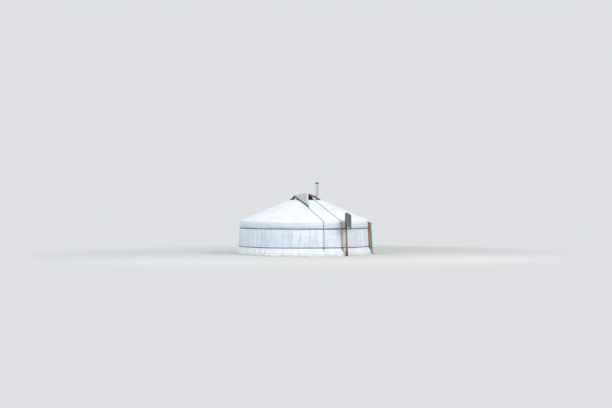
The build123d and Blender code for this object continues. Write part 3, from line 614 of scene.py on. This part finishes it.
wall_corners = [(CANVAS_OUTER + lean(z), z) for z in (FELT_HEIGHT - CANVAS_DROP, CANVAS_FOOT)]
wall_canvas = cover("wall_canvas_cloth", wall_corners, START, FINAL, 960, 34, WALL_SHEET, canvas, wall_folds)

# Roof canvas: one cloth down the slope and over the eave, gathered a little along its hem
VALANCE_FREE = (1.192, 1.225, 1.42, 1.47)
PULLED_CREASE = 0.003
ROOF_LUMP = 0.006
WAVE_FOLD = 0.014
FINE_WAVE = 0.006
SWAG_FOLD = 0.030
VALANCE_DRAWN_IN = 0.004
VALANCE_ROWS = 22
ROOF_ROWS = 44


def roof_folds(angle, radius, height):
    """Soft creases down the slope and waves in the hanging hem, which the belt gathers."""
    run = angle * WALL_RADIUS
    if height > VALANCE_FREE[-1]:
        spread = smooth_step(0.8, 2.6, radius)
        pulled = fold(angle * 25 + cloud(angle * 3, radius, 2.0) * 1.5) * PULLED_CREASE
        lumps = ROOF_LUMP * smooth_step(-0.3, 0.5, cloud(run * 0.7, radius * 1.6, 9.0))
        return 0.0, (lumps + pulled) * (0.4 + 0.6 * spread) * (1 - smooth_step(2.86, 2.94, radius))
    warp = cloud(run * 0.9, height * 2.0, 5.0) * 1.5
    waves = fold(run * 4.4 + warp + height * 2.0) * WAVE_FOLD
    fine = fold(run * 17.0 + warp * 2.0 + height * 6.0) * FINE_WAVE
    swags = fold(height * 24.0 + 1.3 * sin(run * 2.2) + warp * 1.6) * SWAG_FOLD
    below = 1 - smooth_step(1.157, 1.168, height)
    flare = below * (0.006 + 0.004 * sin(run * 23 + warp))
    free = loose(angle) * between(height, *VALANCE_FREE)
    return free * (waves + fine + swags - VALANCE_DRAWN_IN) + flare, 0.0


TOP = RING_OUTER + COVER_SETBACK
roof_corners = eave_curve(TOP, EAVE_FACE, VALANCE_BOTTOM)
hang_start = roof_corners[-2][1]
for i in range(1, VALANCE_ROWS):
    level = hang_start + (VALANCE_BOTTOM - hang_start) * i / VALANCE_ROWS
    roof_corners.insert(-1, (EAVE_FACE + lean(level), level))
roof_canvas = cover(
    "roof_canvas_cloth", roof_corners, START, FINAL, 620, ROOF_ROWS, ROOF_SHEET, roof_cloth, roof_folds
)
door_corners = [(TOP, above_poles(TOP, CANVAS_FACE)), (FELT_EAVE, above_poles(FELT_EAVE, CANVAS_FACE))]
door_ends = (FINAL - 2 * pi, START)
over_door = cover(
    "roof_canvas_over_door", door_corners, *door_ends, 30, ROOF_ROWS, ROOF_SHEET, roof_cloth, roof_folds
)

# Hood over the door: the canvas goes on beyond the eave and bends down
HOOD_SIDE_GAP = 0.002
HOOD_DROOP = 0.006
HOOD_RIPPLE = 0.004
hood_face = EAVE_FACE + HOOD_REACH
hood_bottom = above_poles(eave_corner(hood_face, CANVAS_BED), CANVAS_BED) - HOOD_HEM
hood_ends = (door_ends[0] + HOOD_SIDE_GAP, door_ends[1] - HOOD_SIDE_GAP)


def hood_folds(angle, radius, height):
    """The hood's free edge droops and ripples a little."""
    free = smooth_step(2.93, 3.02, radius)
    ripple = HOOD_RIPPLE * sin(angle * 60)
    return 0.0, free * (-HOOD_DROOP + ripple + HOOD_RIPPLE * cloud(angle * 14, 0.0, 4.0))


hood_corners = eave_curve(FELT_EAVE + SEAT_GAP, hood_face, hood_bottom)
hood = cover("door_hood_cloth", hood_corners, *hood_ends, 40, 16, ROOF_SHEET, roof_cloth, hood_folds)

# Skirt: four lengths that overlap the ground in loose puckers
LENGTHS = (13, 12, 12, 13)
TURN_IN_STEPS = 6
PUCKER = 0.034
FINE_PUCKER = 0.022
TUCK = 0.022
SKIRT_DRAWN_IN = 0.024
GROUND_GAP = 0.001
length_ends = [
    (START + sum(LENGTHS[:i]) * COLUMN, START + sum(LENGTHS[:i + 1]) * COLUMN) for i in range(len(LENGTHS))
]


def skirt_folds(angle, radius, height):
    """Puckers that open towards the ground."""
    free = 1 - smooth_step(0.06, 0.32, height)
    run = angle * WALL_RADIUS
    warp = cloud(run * 0.8, height * 1.5, 21.0) * 2.2
    held = 1 - smooth_step(0.325, 0.345, height)
    puckers = fold(run * 3.1 + warp) * PUCKER + fold(run * 9.0 + warp * 2 + height * 12) * FINE_PUCKER
    tuck = fold(run * 1.6 + height * 30 + warp * 1.4) * TUCK
    frill = smooth_step(0.385, 0.415, height) * (0.004 + 0.003 * sin(run * 17 + warp))
    outward = held * (0.40 + 0.60 * free) * (puckers + tuck) - SKIRT_DRAWN_IN * free
    foot = 1 - smooth_step(0.0, 0.03, height)
    return outward + frill, max(0.0, cloud(run * 1.7, 1.0, 30.0)) * 0.014 * foot


skirt_corners = [
    (SKIRT_OUTER + lean(SKIRT_TOP), SKIRT_TOP),
    (SKIRT_OUTER + lean(SKIRT_BREAK), SKIRT_BREAK),
    (SKIRT_OUTER + lean(0) + SKIRT_FLARE, GROUND_GAP),
]
skirts = []
for i, (ends, columns) in enumerate(zip(length_ends, LENGTHS)):
    name = f"skirt_cloth_{i + 1}"
    turned = (TURN_IN_STEPS if i == 0 else 0, TURN_IN_STEPS if i == len(LENGTHS) - 1 else 0)
    skirts.append(
        cover(name, skirt_corners, *ends, columns * 22, 32, WALL_SHEET, skirt_canvas, skirt_folds, turned)
    )


# Felt: flat lengths behind the canvas, a little thinner than the room they have
FELT_SHEET = FELT - 0.003
wall_felt_corners = [(FELT_OUTER + lean(z), z) for z in (FELT_HEIGHT, GROUND_GAP)]
roof_felt_corners = [(r, above_poles(r, FELT)) for r in (TOP, FELT_EAVE)]


def felt_lumps(angle, radius, height):
    """A little unevenness, inward of the canvas."""
    return -0.001 - 0.001 * cloud(angle * 9, height * 4, 2.0), 0.0


felts = []
for i, (ends, columns) in enumerate(zip(length_ends, LENGTHS)):
    name = f"wall_felt_cloth_{i + 1}"
    felts.append(cover(name, wall_felt_corners, *ends, columns * 4, 10, FELT_SHEET, felt, felt_lumps))
rear = START + COLUMNS // 2 * COLUMN
felt_right = cover(
    "roof_felt_right_cloth", roof_felt_corners, START, rear, 100, 14, FELT_SHEET, felt, felt_lumps
)
felt_left = cover(
    "roof_felt_left_cloth", roof_felt_corners, rear, START + 2 * pi, 112, 14, FELT_SHEET, felt, felt_lumps
)

# Belts: flat webbing from one side of the door to the other, sagging a little
BELT_STEPS = 500
BELT_LIFT = 0.001
# The webbing's section with rounded edges: shares of half its height and of its thickness
BELT_SECTION = ((-1.0, 0.1), (-0.96, 0.75), (-0.8, 1.0), (0.8, 1.0), (0.96, 0.75), (1.0, 0.1))


def band(name, middle, inner, slack):
    """A belt round the wall with rounded edges and a slow sag."""
    points, faces = [], []
    for i in range(BELT_STEPS + 1):
        angle = START + (FINAL - START) * i / BELT_STEPS
        run = angle * WALL_RADIUS
        dip = -slack * smooth_step(-0.5, 0.5, cloud(run * 0.25, 2.0, middle)) + 0.003 * sin(run * 2.1)
        for share, depth in BELT_SECTION:
            z = middle + dip + share * BELT_HEIGHT / 2
            points.append(at(angle, inner + lean(z) + depth * BELT_THICKNESS + BELT_LIFT, z))
    rows = len(BELT_SECTION)
    for i in range(BELT_STEPS):
        for j in range(rows):
            k = (j + 1) % rows
            a, b = i * rows, (i + 1) * rows
            faces.append((a + j, b + j, b + k, a + k))
    faces.append(tuple(range(rows)))
    faces.append(tuple(reversed(range(BELT_STEPS * rows, (BELT_STEPS + 1) * rows))))
    return add_mesh(name, points, faces, webbing)


upper_belt = band("upper_belt_webbing", UPPER_BELT, EAVE_FACE + LAYER_GAP, 0.012)
lower_belt = band("lower_belt_webbing", LOWER_BELT, SKIRT_OUTER + LAYER_GAP, 0.006)

# Ropes: three strands laid round each other
ROPE_RADIUS = 0.008
LAY_LENGTH = 0.075
FLAP_CORNER = 1.650
FLAP_CORNER_ANGLE = radians(16)
SIDE_ROPE_START = 0.765
ROPE_GAP = 0.0008
CLOTH_LIFT = 0.002
EAVE_CUT = 0.024
ROPE_KNOT_OUT = 0.022
UP = Vector((0.0, 0.0, 1.0))
# Thin cord of the knots: radii of the turns and of the ends, and the length of its steps
LOOP_CORD = 0.0065
THIN_CORD = 0.006
CORD_STEP = 0.006
KNOT_HALF = 0.021
KNOT_DEPTH = 0.016
TURN_SPACING = 0.016
BOW_OUT = 0.014
BOW_REACH = 0.022
BOW_RISE = 0.028
TAIL_DROP = 0.13
TAIL_UNEVEN = 0.03
# Belt ties: how far round from the doorway and out from the belt they are, and where they are nailed
TIE_TURN = 0.012
TIE_OUT = 0.010
NAIL_SIDE = 0.452
NAIL_DEPTH = 0.030


def laid_rope(points, radius=ROPE_RADIUS, strands=3, lay=LAY_LENGTH, sides=6, spacing=0.009):
    """Points and faces of strands wound along a run of points."""
    spots, length = [], 0.0
    for a, b in zip(points, points[1:]):
        count = max(1, ceil((b - a).length / spacing))
        for i in range(count):
            spots.append((a + (b - a) * i / count, length + (b - a).length * i / count))
        length += (b - a).length
    spots.append((points[-1], length))
    points, faces = [], []
    for strand in range(strands):
        base = len(points)
        for k, (spot, run) in enumerate(spots):
            before, after = spots[max(0, k - 1)][0], spots[min(len(spots) - 1, k + 1)][0]
            way = (after - before).normalized()
            side = way.cross(UP if abs(way.z) < 0.9 else spot.xy.to_3d()).normalized()
            up = side.cross(way)
            turn = 2 * pi * (run / lay + strand / strands)
            middle = spot + (side * cos(turn) + up * sin(turn)) * radius * 0.5
            for s in range(sides):
                a = 2 * pi * s / sides
                points.append(middle + (side * cos(a) + up * sin(a)) * radius * 0.55)
        for k in range(len(spots) - 1):
            for s in range(sides):
                a, b = base + k * sides, base + (k + 1) * sides
                t = (s + 1) % sides
                faces.append((a + s, a + t, b + t, b + s))
        faces.append(tuple(range(base, base + sides)))
        faces.append(tuple(reversed(range(len(points) - sides, len(points)))))
    return points, faces


def joined(name, parts, material):
    """One mesh object from several lots of points and faces."""
    points, faces = [], []
    for more, around in parts:
        faces += [tuple(i + len(points) for i in face) for face in around]
        points += more
    return add_mesh(name, points, faces, material)


def knot_parts(angle, out, level=LOWER_BELT):
    """A knot on a belt: turns round the belt, a bow and two hanging ends."""
    middle = at(angle, out, level)
    away, side = directions(angle)
    parts = []
    for turn, height in ((0.9, TURN_SPACING), (1.0, 0.0), (0.9, -TURN_SPACING)):
        loop = []
        for i in range(15):
            a = 2 * pi * i / 14
            rise = height + 0.004 * sin(2 * a)
            loop.append(middle + side * cos(a) * KNOT_HALF * turn + away * sin(a) * KNOT_DEPTH + UP * rise)
        parts.append(laid_rope(loop, LOOP_CORD, spacing=CORD_STEP))
    for reach in (-1, 1):
        bow, tail = [], []
        for i in range(10):
            a = pi * i / 9
            spread = reach * (0.02 + BOW_REACH * sin(a))
            bow.append(middle + away * BOW_OUT + side * spread + UP * (BOW_RISE * (1 - cos(a)) - 0.02))
        for i in range(8):
            t = i / 7
            forward = 0.016 + 0.02 * t * t + 0.01 * t
            drop = 0.02 + (TAIL_DROP + TAIL_UNEVEN * reach) * t
            tail.append(middle + away * forward + side * reach * (0.004 + 0.022 * t) - UP * drop)
        parts += [laid_rope(cord, THIN_CORD, spacing=CORD_STEP) for cord in (bow, tail)]
    return parts


def tied_rope(radius, begin, end):
    """A rope from the roof to its knot on the lower belt, lying on the cloth."""
    lift = CANVAS_FACE + ROPE_GAP + ROPE_RADIUS + CLOTH_LIFT
    face = max(EAVE_FACE, SKIRT_OUTER) + LAYER_GAP + BELT_THICKNESS + ROPE_GAP + ROPE_RADIUS
    corner = eave_corner(face, lift)
    a, b = at(begin, radius, 0.0), at(end, corner - EAVE_CUT, 0.0)
    points = []
    for i in range(13):
        spot = a + (b - a) * i / 12
        wobble = 0.004 * cloud(i * 0.7, begin, 8.0)
        points.append(Vector((spot.x, spot.y, above_poles(spot.xy.length, lift + abs(wobble)))))
    bottom = above_poles(corner, lift)
    for t in (0.35, 0.65, 1.0):
        points.append(at(end, corner - EAVE_CUT * (1 - t) ** 2, bottom + 0.006 - 0.03 * t))
    for i in range(1, 9):
        height = bottom - EAVE_CUT + (LOWER_BELT - bottom + EAVE_CUT) * i / 8
        points.append(at(end, face + lean(height), height))
    knot_out = SKIRT_OUTER + LAYER_GAP + BELT_THICKNESS + ROPE_KNOT_OUT + lean(LOWER_BELT)
    return [laid_rope(points), *knot_parts(end, knot_out)]


def belt_tie_parts(level, face):
    """Cord at a belt's two ends, knotted and tied to the door casing."""
    parts = []
    out = face + lean(level) + BELT_THICKNESS + TIE_OUT
    for side in (-1, 1):
        angle = -pi / 2 + side * (HALF_DOOR + TIE_TURN)
        nail = in_door_plane(side * NAIL_SIDE, NAIL_DEPTH, level)
        parts += knot_parts(angle, out, level)
        parts.append(laid_rope([at(angle, out, level), nail], THIN_CORD, spacing=CORD_STEP))
    return parts


flap_ropes = joined(
    "flap_rope_strands",
    tied_rope(FLAP_CORNER + ROPE_RADIUS, pi + FLAP_CORNER_ANGLE, pi + FLAP_ROPE_EAVE)
    + tied_rope(FLAP_CORNER + ROPE_RADIUS, -FLAP_CORNER_ANGLE, -FLAP_ROPE_EAVE),
    rope,
)
side_ropes = joined(
    "side_rope_strands",
    tied_rope(SIDE_ROPE_START, pi + SIDE_ROPE, pi + SIDE_ROPE)
    + tied_rope(SIDE_ROPE_START, -SIDE_ROPE, -SIDE_ROPE),
    rope,
)

# Crown flap: canvas draped over the arches, tied down at its two side corners
ARCH_RISE = 0.250
ARCH_DEPTH = 0.045
ARCH_FOOT = 0.690
FLAP_FRONT = -0.160
FLAP_REAR = 0.520
FLAP_REAR_HALF = 0.400
FLAP_ROUNDING = 0.10
FLAP_THICKNESS = 0.010
# Width of the painted shadow band along the flap's rear edge
FLAP_SHADOW_BAND = 0.110
FLAP_SHEET = 0.005
FLAP_ACROSS = 120
FLAP_DEEP = 36
FLAP_SEAT = 0.006
FLAP_BLEND = 0.035
DOME_REACH = 0.62
# Rows along the flap's front that get the painted highlight
HIGHLIGHT_ROWS = 5
EDGE_BOW = 0.10
PULLED_FOLD = 0.012
FLAP_SLACK = 0.010
FRONT_LIFT = 0.010
REAR_LIFT = 0.035
CORNER_X = FLAP_CORNER * cos(FLAP_CORNER_ANGLE)
CORNER_Y = -FLAP_CORNER * sin(FLAP_CORNER_ANGLE)
ARCH_RADIUS = (ARCH_FOOT**2 + ARCH_RISE**2) / (2 * ARCH_RISE)
ARCH_CENTRE = RING_TOP + ARCH_RISE - ARCH_RADIUS
FLAP_SPHERE = ARCH_RADIUS + ARCH_DEPTH / 2 + FLAP_SEAT + FLAP_THICKNESS


def flap_height(x, y):
    """The draped flap's outer face over this spot."""
    reach = sqrt(x * x + y * y)
    roof = above_poles(reach, CANVAS_FACE + SEAT_GAP + FLAP_THICKNESS)
    inside = FLAP_SPHERE**2 - reach**2
    dome = ARCH_CENTRE + sqrt(inside) if inside > 0 else 0.0
    if reach < DOME_REACH:
        return dome
    # Where it comes off the arches the cloth runs smoothly on to the roof
    return max(dome, roof) + max(0.0, FLAP_BLEND - abs(dome - roof)) ** 2 / (4 * FLAP_BLEND)


def flap_edges(share):
    """Front and rear Y of the flap at this share of the way out to a corner."""
    front = FLAP_FRONT + (CORNER_Y - FLAP_FRONT) * share
    beyond, whole = share * CORNER_X - FLAP_REAR_HALF, CORNER_X - FLAP_REAR_HALF
    past = (beyond + sqrt(beyond**2 + FLAP_ROUNDING**2)) / (whole + sqrt(whole**2 + FLAP_ROUNDING**2))
    rear = FLAP_REAR + (CORNER_Y - FLAP_REAR) * past
    return front + EDGE_BOW * share * (1 - share), rear - EDGE_BOW * past * (1 - past)


def crown_flap_mesh():
    """A grid over the flap, with pulled folds towards its corners and edges that lift a little."""
    points = []
    for i in range(FLAP_ACROSS + 1):
        share = -1 + 2 * i / FLAP_ACROSS
        front, rear = flap_edges(abs(share))
        x = share * CORNER_X
        pull = smooth_step(0.3, 0.9, abs(share))
        for j in range(FLAP_DEEP + 1):
            v = j / FLAP_DEEP
            y = front + (rear - front) * v
            crease = fold(v * 9 + cloud(share * 3, v, 3.0) * 1.2) * PULLED_FOLD * pull * sin(pi * v)
            slack = FLAP_SLACK * smooth_step(-0.2, 0.5, cloud(x * 2.2, y * 2.2, 6.0)) * sin(pi * v)
            front_lift = FRONT_LIFT * (1 - smooth_step(0.0, 0.06, v))
            rear_lift = REAR_LIFT * smooth_step(0.80, 1.0, v) * (1 - abs(share)) ** 0.5
            lift = (front_lift + rear_lift) * (1 - abs(share) ** 4)
            points.append((x, y, flap_height(x, y) + crease + slack + lift))
    piece = add_mesh("crown_flap_cloth", points, grid_faces(FLAP_ACROSS, FLAP_DEEP), flap_canvas)
    piece.data.materials.append(ridge_highlight_canvas)
    piece.data.materials.append(shadow_band_canvas)
    for polygon in piece.data.polygons:
        i, j = divmod(polygon.index, FLAP_DEEP)
        front, rear = flap_edges(abs(-1 + (2 * i + 1) / FLAP_ACROSS))
        # Faces near the rear edge get the painted shadow band
        if (FLAP_DEEP - j) / FLAP_DEEP * (rear - front) < FLAP_SHADOW_BAND:
            polygon.material_index = 2
        # The first rows at the front get the painted highlight
        elif j < HIGHLIGHT_ROWS:
            polygon.material_index = 1
    thicken(piece, FLAP_SHEET, -1.0)
    return piece


flap = crown_flap_mesh()

# Door casing: a moulding round the front of the frame, turquoise on its inner side
CASING_HALF = 0.4495
CASING_TOP = 1.438
CASING_FOOT = 0.012
CASING_EDGE = 0.0015
# Points of the moulding: how far in from its outer side, and how far out from the frame
CASING_PROFILE = (
    (0.0, 0.0005), (0.0, 0.090), (0.002, 0.095), (0.007, 0.098), (0.013, 0.098), (0.018, 0.094),
    (0.020, 0.088), (0.018, 0.082), (0.020, 0.076), (0.020, 0.0005),
)


def casing_mesh():
    """The moulding swept up one jamb, across the head and down the other, with mitred corners."""
    points, faces = [], []
    for inset, depth in CASING_PROFILE:
        half, top = CASING_HALF - inset, CASING_TOP - inset
        for x, z in ((-half, CASING_FOOT), (-half, top), (half, top), (half, CASING_FOOT)):
            points.append(in_door_plane(x, depth, z))
    count = len(CASING_PROFILE)
    for j in range(count):
        k = (j + 1) % count
        for i in range(3):
            faces.append((j * 4 + i, j * 4 + i + 1, k * 4 + i + 1, k * 4 + i))
    faces.append(tuple(j * 4 for j in range(count)))
    faces.append(tuple(j * 4 + 3 for j in reversed(range(count))))
    piece = add_mesh("door_casing", points, faces, frame_paint, smooth=False)
    piece.data.materials.append(leaf_paint)
    for polygon in piece.data.polygons:
        if count - 3 <= polygon.index // 3 < count - 1:
            polygon.material_index = 1
    edges = piece.modifiers.new("rounded", "BEVEL")
    edges.width = CASING_EDGE
    edges.segments = 2
    return piece


casing = casing_mesh()
belt_ties = joined(
    "belt_ties",
    belt_tie_parts(UPPER_BELT, EAVE_FACE + LAYER_GAP) + belt_tie_parts(LOWER_BELT, SKIRT_OUTER + LAYER_GAP),
    rope,
)


# Materials of the kept pieces
def paint_nodes(material, *names):
    """Gives kept CAD pieces their finish."""
    for name in names:
        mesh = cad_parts[name].data
        mesh.materials.clear()
        mesh.materials.append(material)


lattices = [f"lattice_{i}_{side}" for i in range(1, 6) for side in ("left", "right")]
paint_nodes(orange_wood, *lattices, "roof_poles_1", "roof_poles_2", "roof_poles_door")
paint_nodes(crown_paint, "crown_ring", "crown_arches")
paint_nodes(orange_wood, "post_left", "post_right")
paint_nodes(frame_paint, "door_jamb_left", "door_jamb_right", "door_sill", "door_head")
paint_nodes(leaf_paint, "door_leaf")
paint_nodes(dark_iron, "hinges_frame_side", "hinges_leaf_side")
paint_nodes(bright_iron, "door_handle")
paint_nodes(pipe_metal, "stovepipe", "pipe_plate")
paint_nodes(sooty_metal, "pipe_cap")
paint_nodes(grey_iron, "panel_bracket")
paint_nodes(mast_wood, "panel_mast")
paint_nodes(panel_rim, "solar_panel")

# Solar panel: dark cells in rows behind glass, in a metal frame
MAST_ANGLE = radians(224)
MAST_TILT = radians(2.5)
MAST_GAP = 0.004
MAST_RADIUS = 0.052
MAST_FOOT = SKIRT_OUTER + lean(0) + SKIRT_FLARE + MAST_GAP + MAST_RADIUS
PANEL_LEVEL = 1.520
PANEL_STANDOFF = 0.130
PANEL_FACING = radians(-102)
PANEL_TILT = radians(6)
PANEL_ROLL = radians(16)
PANEL_SIZE = (0.476, 0.556)
PANEL_FACE = 0.0102
PANEL_CELLS = (4, 9)
GLASS_STEPS = 4
forward, level_edge = directions(PANEL_FACING)
normal = forward * cos(PANEL_TILT) + UP * sin(PANEL_TILT)
rising_edge = normal.cross(level_edge)
panel_x = level_edge * cos(PANEL_ROLL) - rising_edge * sin(PANEL_ROLL)
panel_y = normal.cross(panel_x)
mast_middle = at(MAST_ANGLE, MAST_FOOT - PANEL_LEVEL * tan(MAST_TILT), PANEL_LEVEL)
panel_middle = mast_middle + normal * PANEL_STANDOFF
glass_points = []
for i in range(GLASS_STEPS + 1):
    for j in range(GLASS_STEPS + 1):
        across = panel_x * PANEL_SIZE[0] * (i / GLASS_STEPS - 0.5)
        upward = panel_y * PANEL_SIZE[1] * (j / GLASS_STEPS - 0.5)
        glass_points.append(panel_middle + (across + upward) + normal * PANEL_FACE)
glass_grid = grid_faces(GLASS_STEPS, GLASS_STEPS)
glass = add_mesh("panel_glass", glass_points, glass_grid, panel_cells, smooth=False)
glass.data.uv_layers.new(name="cells")
for loop in glass.data.loops:
    i, j = divmod(loop.vertex_index, GLASS_STEPS + 1)
    place = (i * PANEL_CELLS[0] / GLASS_STEPS, j * PANEL_CELLS[1] / GLASS_STEPS)
    glass.data.uv_layers["cells"].data[loop.index].uv = place

# Mast lashing: rope turns round the mast and back to the belt
LASHING_CORD = 0.0055
LASHING_LAY = 0.050
LASHING_STEP = 0.008
LASHING_PITCH = 0.009
LASHING_ROUND = 0.0515
LASHING_NEAR = 0.014
BELT_BEND = 0.012


def lashing_parts():
    """Three turns of rope from the upper belt round the mast."""
    mast = MAST_FOOT - UPPER_BELT * tan(MAST_TILT)
    belt = (EAVE_FACE + LAYER_GAP + BELT_THICKNESS) * flat(MAST_ANGLE) + lean(UPPER_BELT)
    near = belt + LASHING_NEAR
    away, side = directions(MAST_ANGLE)
    parts = []
    for k in (-1, 0, 1):
        height = UPPER_BELT + k * LASHING_PITCH
        loop = []
        for i in range(11):
            a = -pi / 2 + pi * i / 10
            spot = away * (mast + LASHING_ROUND * cos(a)) + side * LASHING_ROUND * sin(a)
            loop.append(spot + UP * (height + 0.002 * sin(3 * a)))
        for i in range(7):
            a = pi / 2 + pi * i / 6
            loop.append(away * (near + BELT_BEND * cos(a)) + side * BELT_BEND * sin(a) + UP * height)
        loop.append(loop[0])
        parts.append(laid_rope(loop, LASHING_CORD, spacing=LASHING_STEP, lay=LASHING_LAY))
    return parts


lashing = joined("mast_lashing_rope", lashing_parts(), rope)

# What each piece rides on, replaces and is made of
pieces = [
    (wall_canvas, "cover_canvas", ["wall_canvas"]),
    (roof_canvas, "cover_canvas", ["roof_canvas"]),
    (over_door, "cover_canvas", []),
    (hood, "cover_canvas", ["door_hood"]),
    (upper_belt, "belt_webbing", ["upper_belt"]),
    (lower_belt, "belt_webbing", ["lower_belt"]),
    (flap, "flap_canvas", ["crown_flap"]),
    (flap_ropes, "rope", ["flap_ropes"]),
    (side_ropes, "rope", ["side_ropes"]),
    (lashing, "rope", ["mast_lashing"]),
    (belt_ties, "rope", []),
    (casing, "painted_wood", []),
    (glass, "panel_face", []),
    (felt_right, "felt", ["roof_felt_right"]),
    (felt_left, "felt", ["roof_felt_left"]),
]
pieces += [(skirt, "skirt_canvas", [f"skirt_{i + 1}"]) for i, skirt in enumerate(skirts)]
pieces += [(length, "felt", [f"wall_felt_{i + 1}"]) for i, length in enumerate(felts)]
for piece, slot, nodes in pieces:
    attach(piece, "root")
    if nodes:
        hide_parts(*nodes)

# Camera: level, from beside the door, at the photograph's distance
VIEW_ANGLE = radians(190)
DISTANCE = 54.0
EYE_HEIGHT = 2.25
FOCAL = 70.0
SIDE_AIM = 0.036
toward, right = directions(VIEW_ANGLE)
eye = toward * DISTANCE + UP * EYE_HEIGHT
target = right * SIDE_AIM + UP * EYE_HEIGHT
camera = bpy.data.objects.new("camera", bpy.data.cameras.new("camera"))
camera.data.lens = FOCAL
camera.data.sensor_width = 36.0
camera.data.clip_end = 200.0
camera.location = eye
camera.rotation_euler = (target - eye).to_track_quat("-Z", "Y").to_euler()
bpy.context.scene.collection.objects.link(camera)
bpy.context.scene.camera = camera

# Floor and soft studio light, with all lamps aimed at one height
LAMP_AIM = 1.2
FLOOR = 60.0
floor = add_mesh(
    "floor",
    [(-FLOOR, -FLOOR, 0), (FLOOR, -FLOOR, 0), (FLOOR, FLOOR, 0), (-FLOOR, FLOOR, 0)],
    [(0, 1, 2, 3)],
    floor_finish(),
    smooth=False,
)


def area_light(name, place, size, power, colour):
    """A square softbox aimed at the middle of the tent."""
    lamp = bpy.data.objects.new(name, bpy.data.lights.new(name, "AREA"))
    lamp.data.size = size
    lamp.data.energy = power
    lamp.data.color = colour
    lamp.location = place
    lamp.rotation_euler = (UP * LAMP_AIM - Vector(place)).to_track_quat("-Z", "Y").to_euler()
    bpy.context.scene.collection.objects.link(lamp)


area_light("key", (-9.0, -13.5, 13.5), 8.0, 1950.0, (1.0, 0.98, 0.95))
area_light("fill", (-16.0, 6.0, 8.0), 10.0, 1080.0, (0.92, 0.95, 1.0))
area_light("back", (10.0, 12.0, 12.0), 10.0, 800.0, (0.95, 0.97, 1.0))
world = bpy.data.worlds.new("studio")
world.use_nodes = True
tree = world.node_tree
tree.nodes.clear()
soft = add(tree, "Background", {"Color": "dfe6ee", "Strength": 0.60})
plain = add(tree, "Background", {"Color": BACKDROP, "Strength": 1.0})
both = add(tree, "MixShader", {0: seen_in_picture(tree), 1: soft, 2: plain})
add(tree, "OutputWorld", {"Surface": both}, out=None)
bpy.context.scene.world = world
bpy.context.scene.view_settings.view_transform = "Standard"
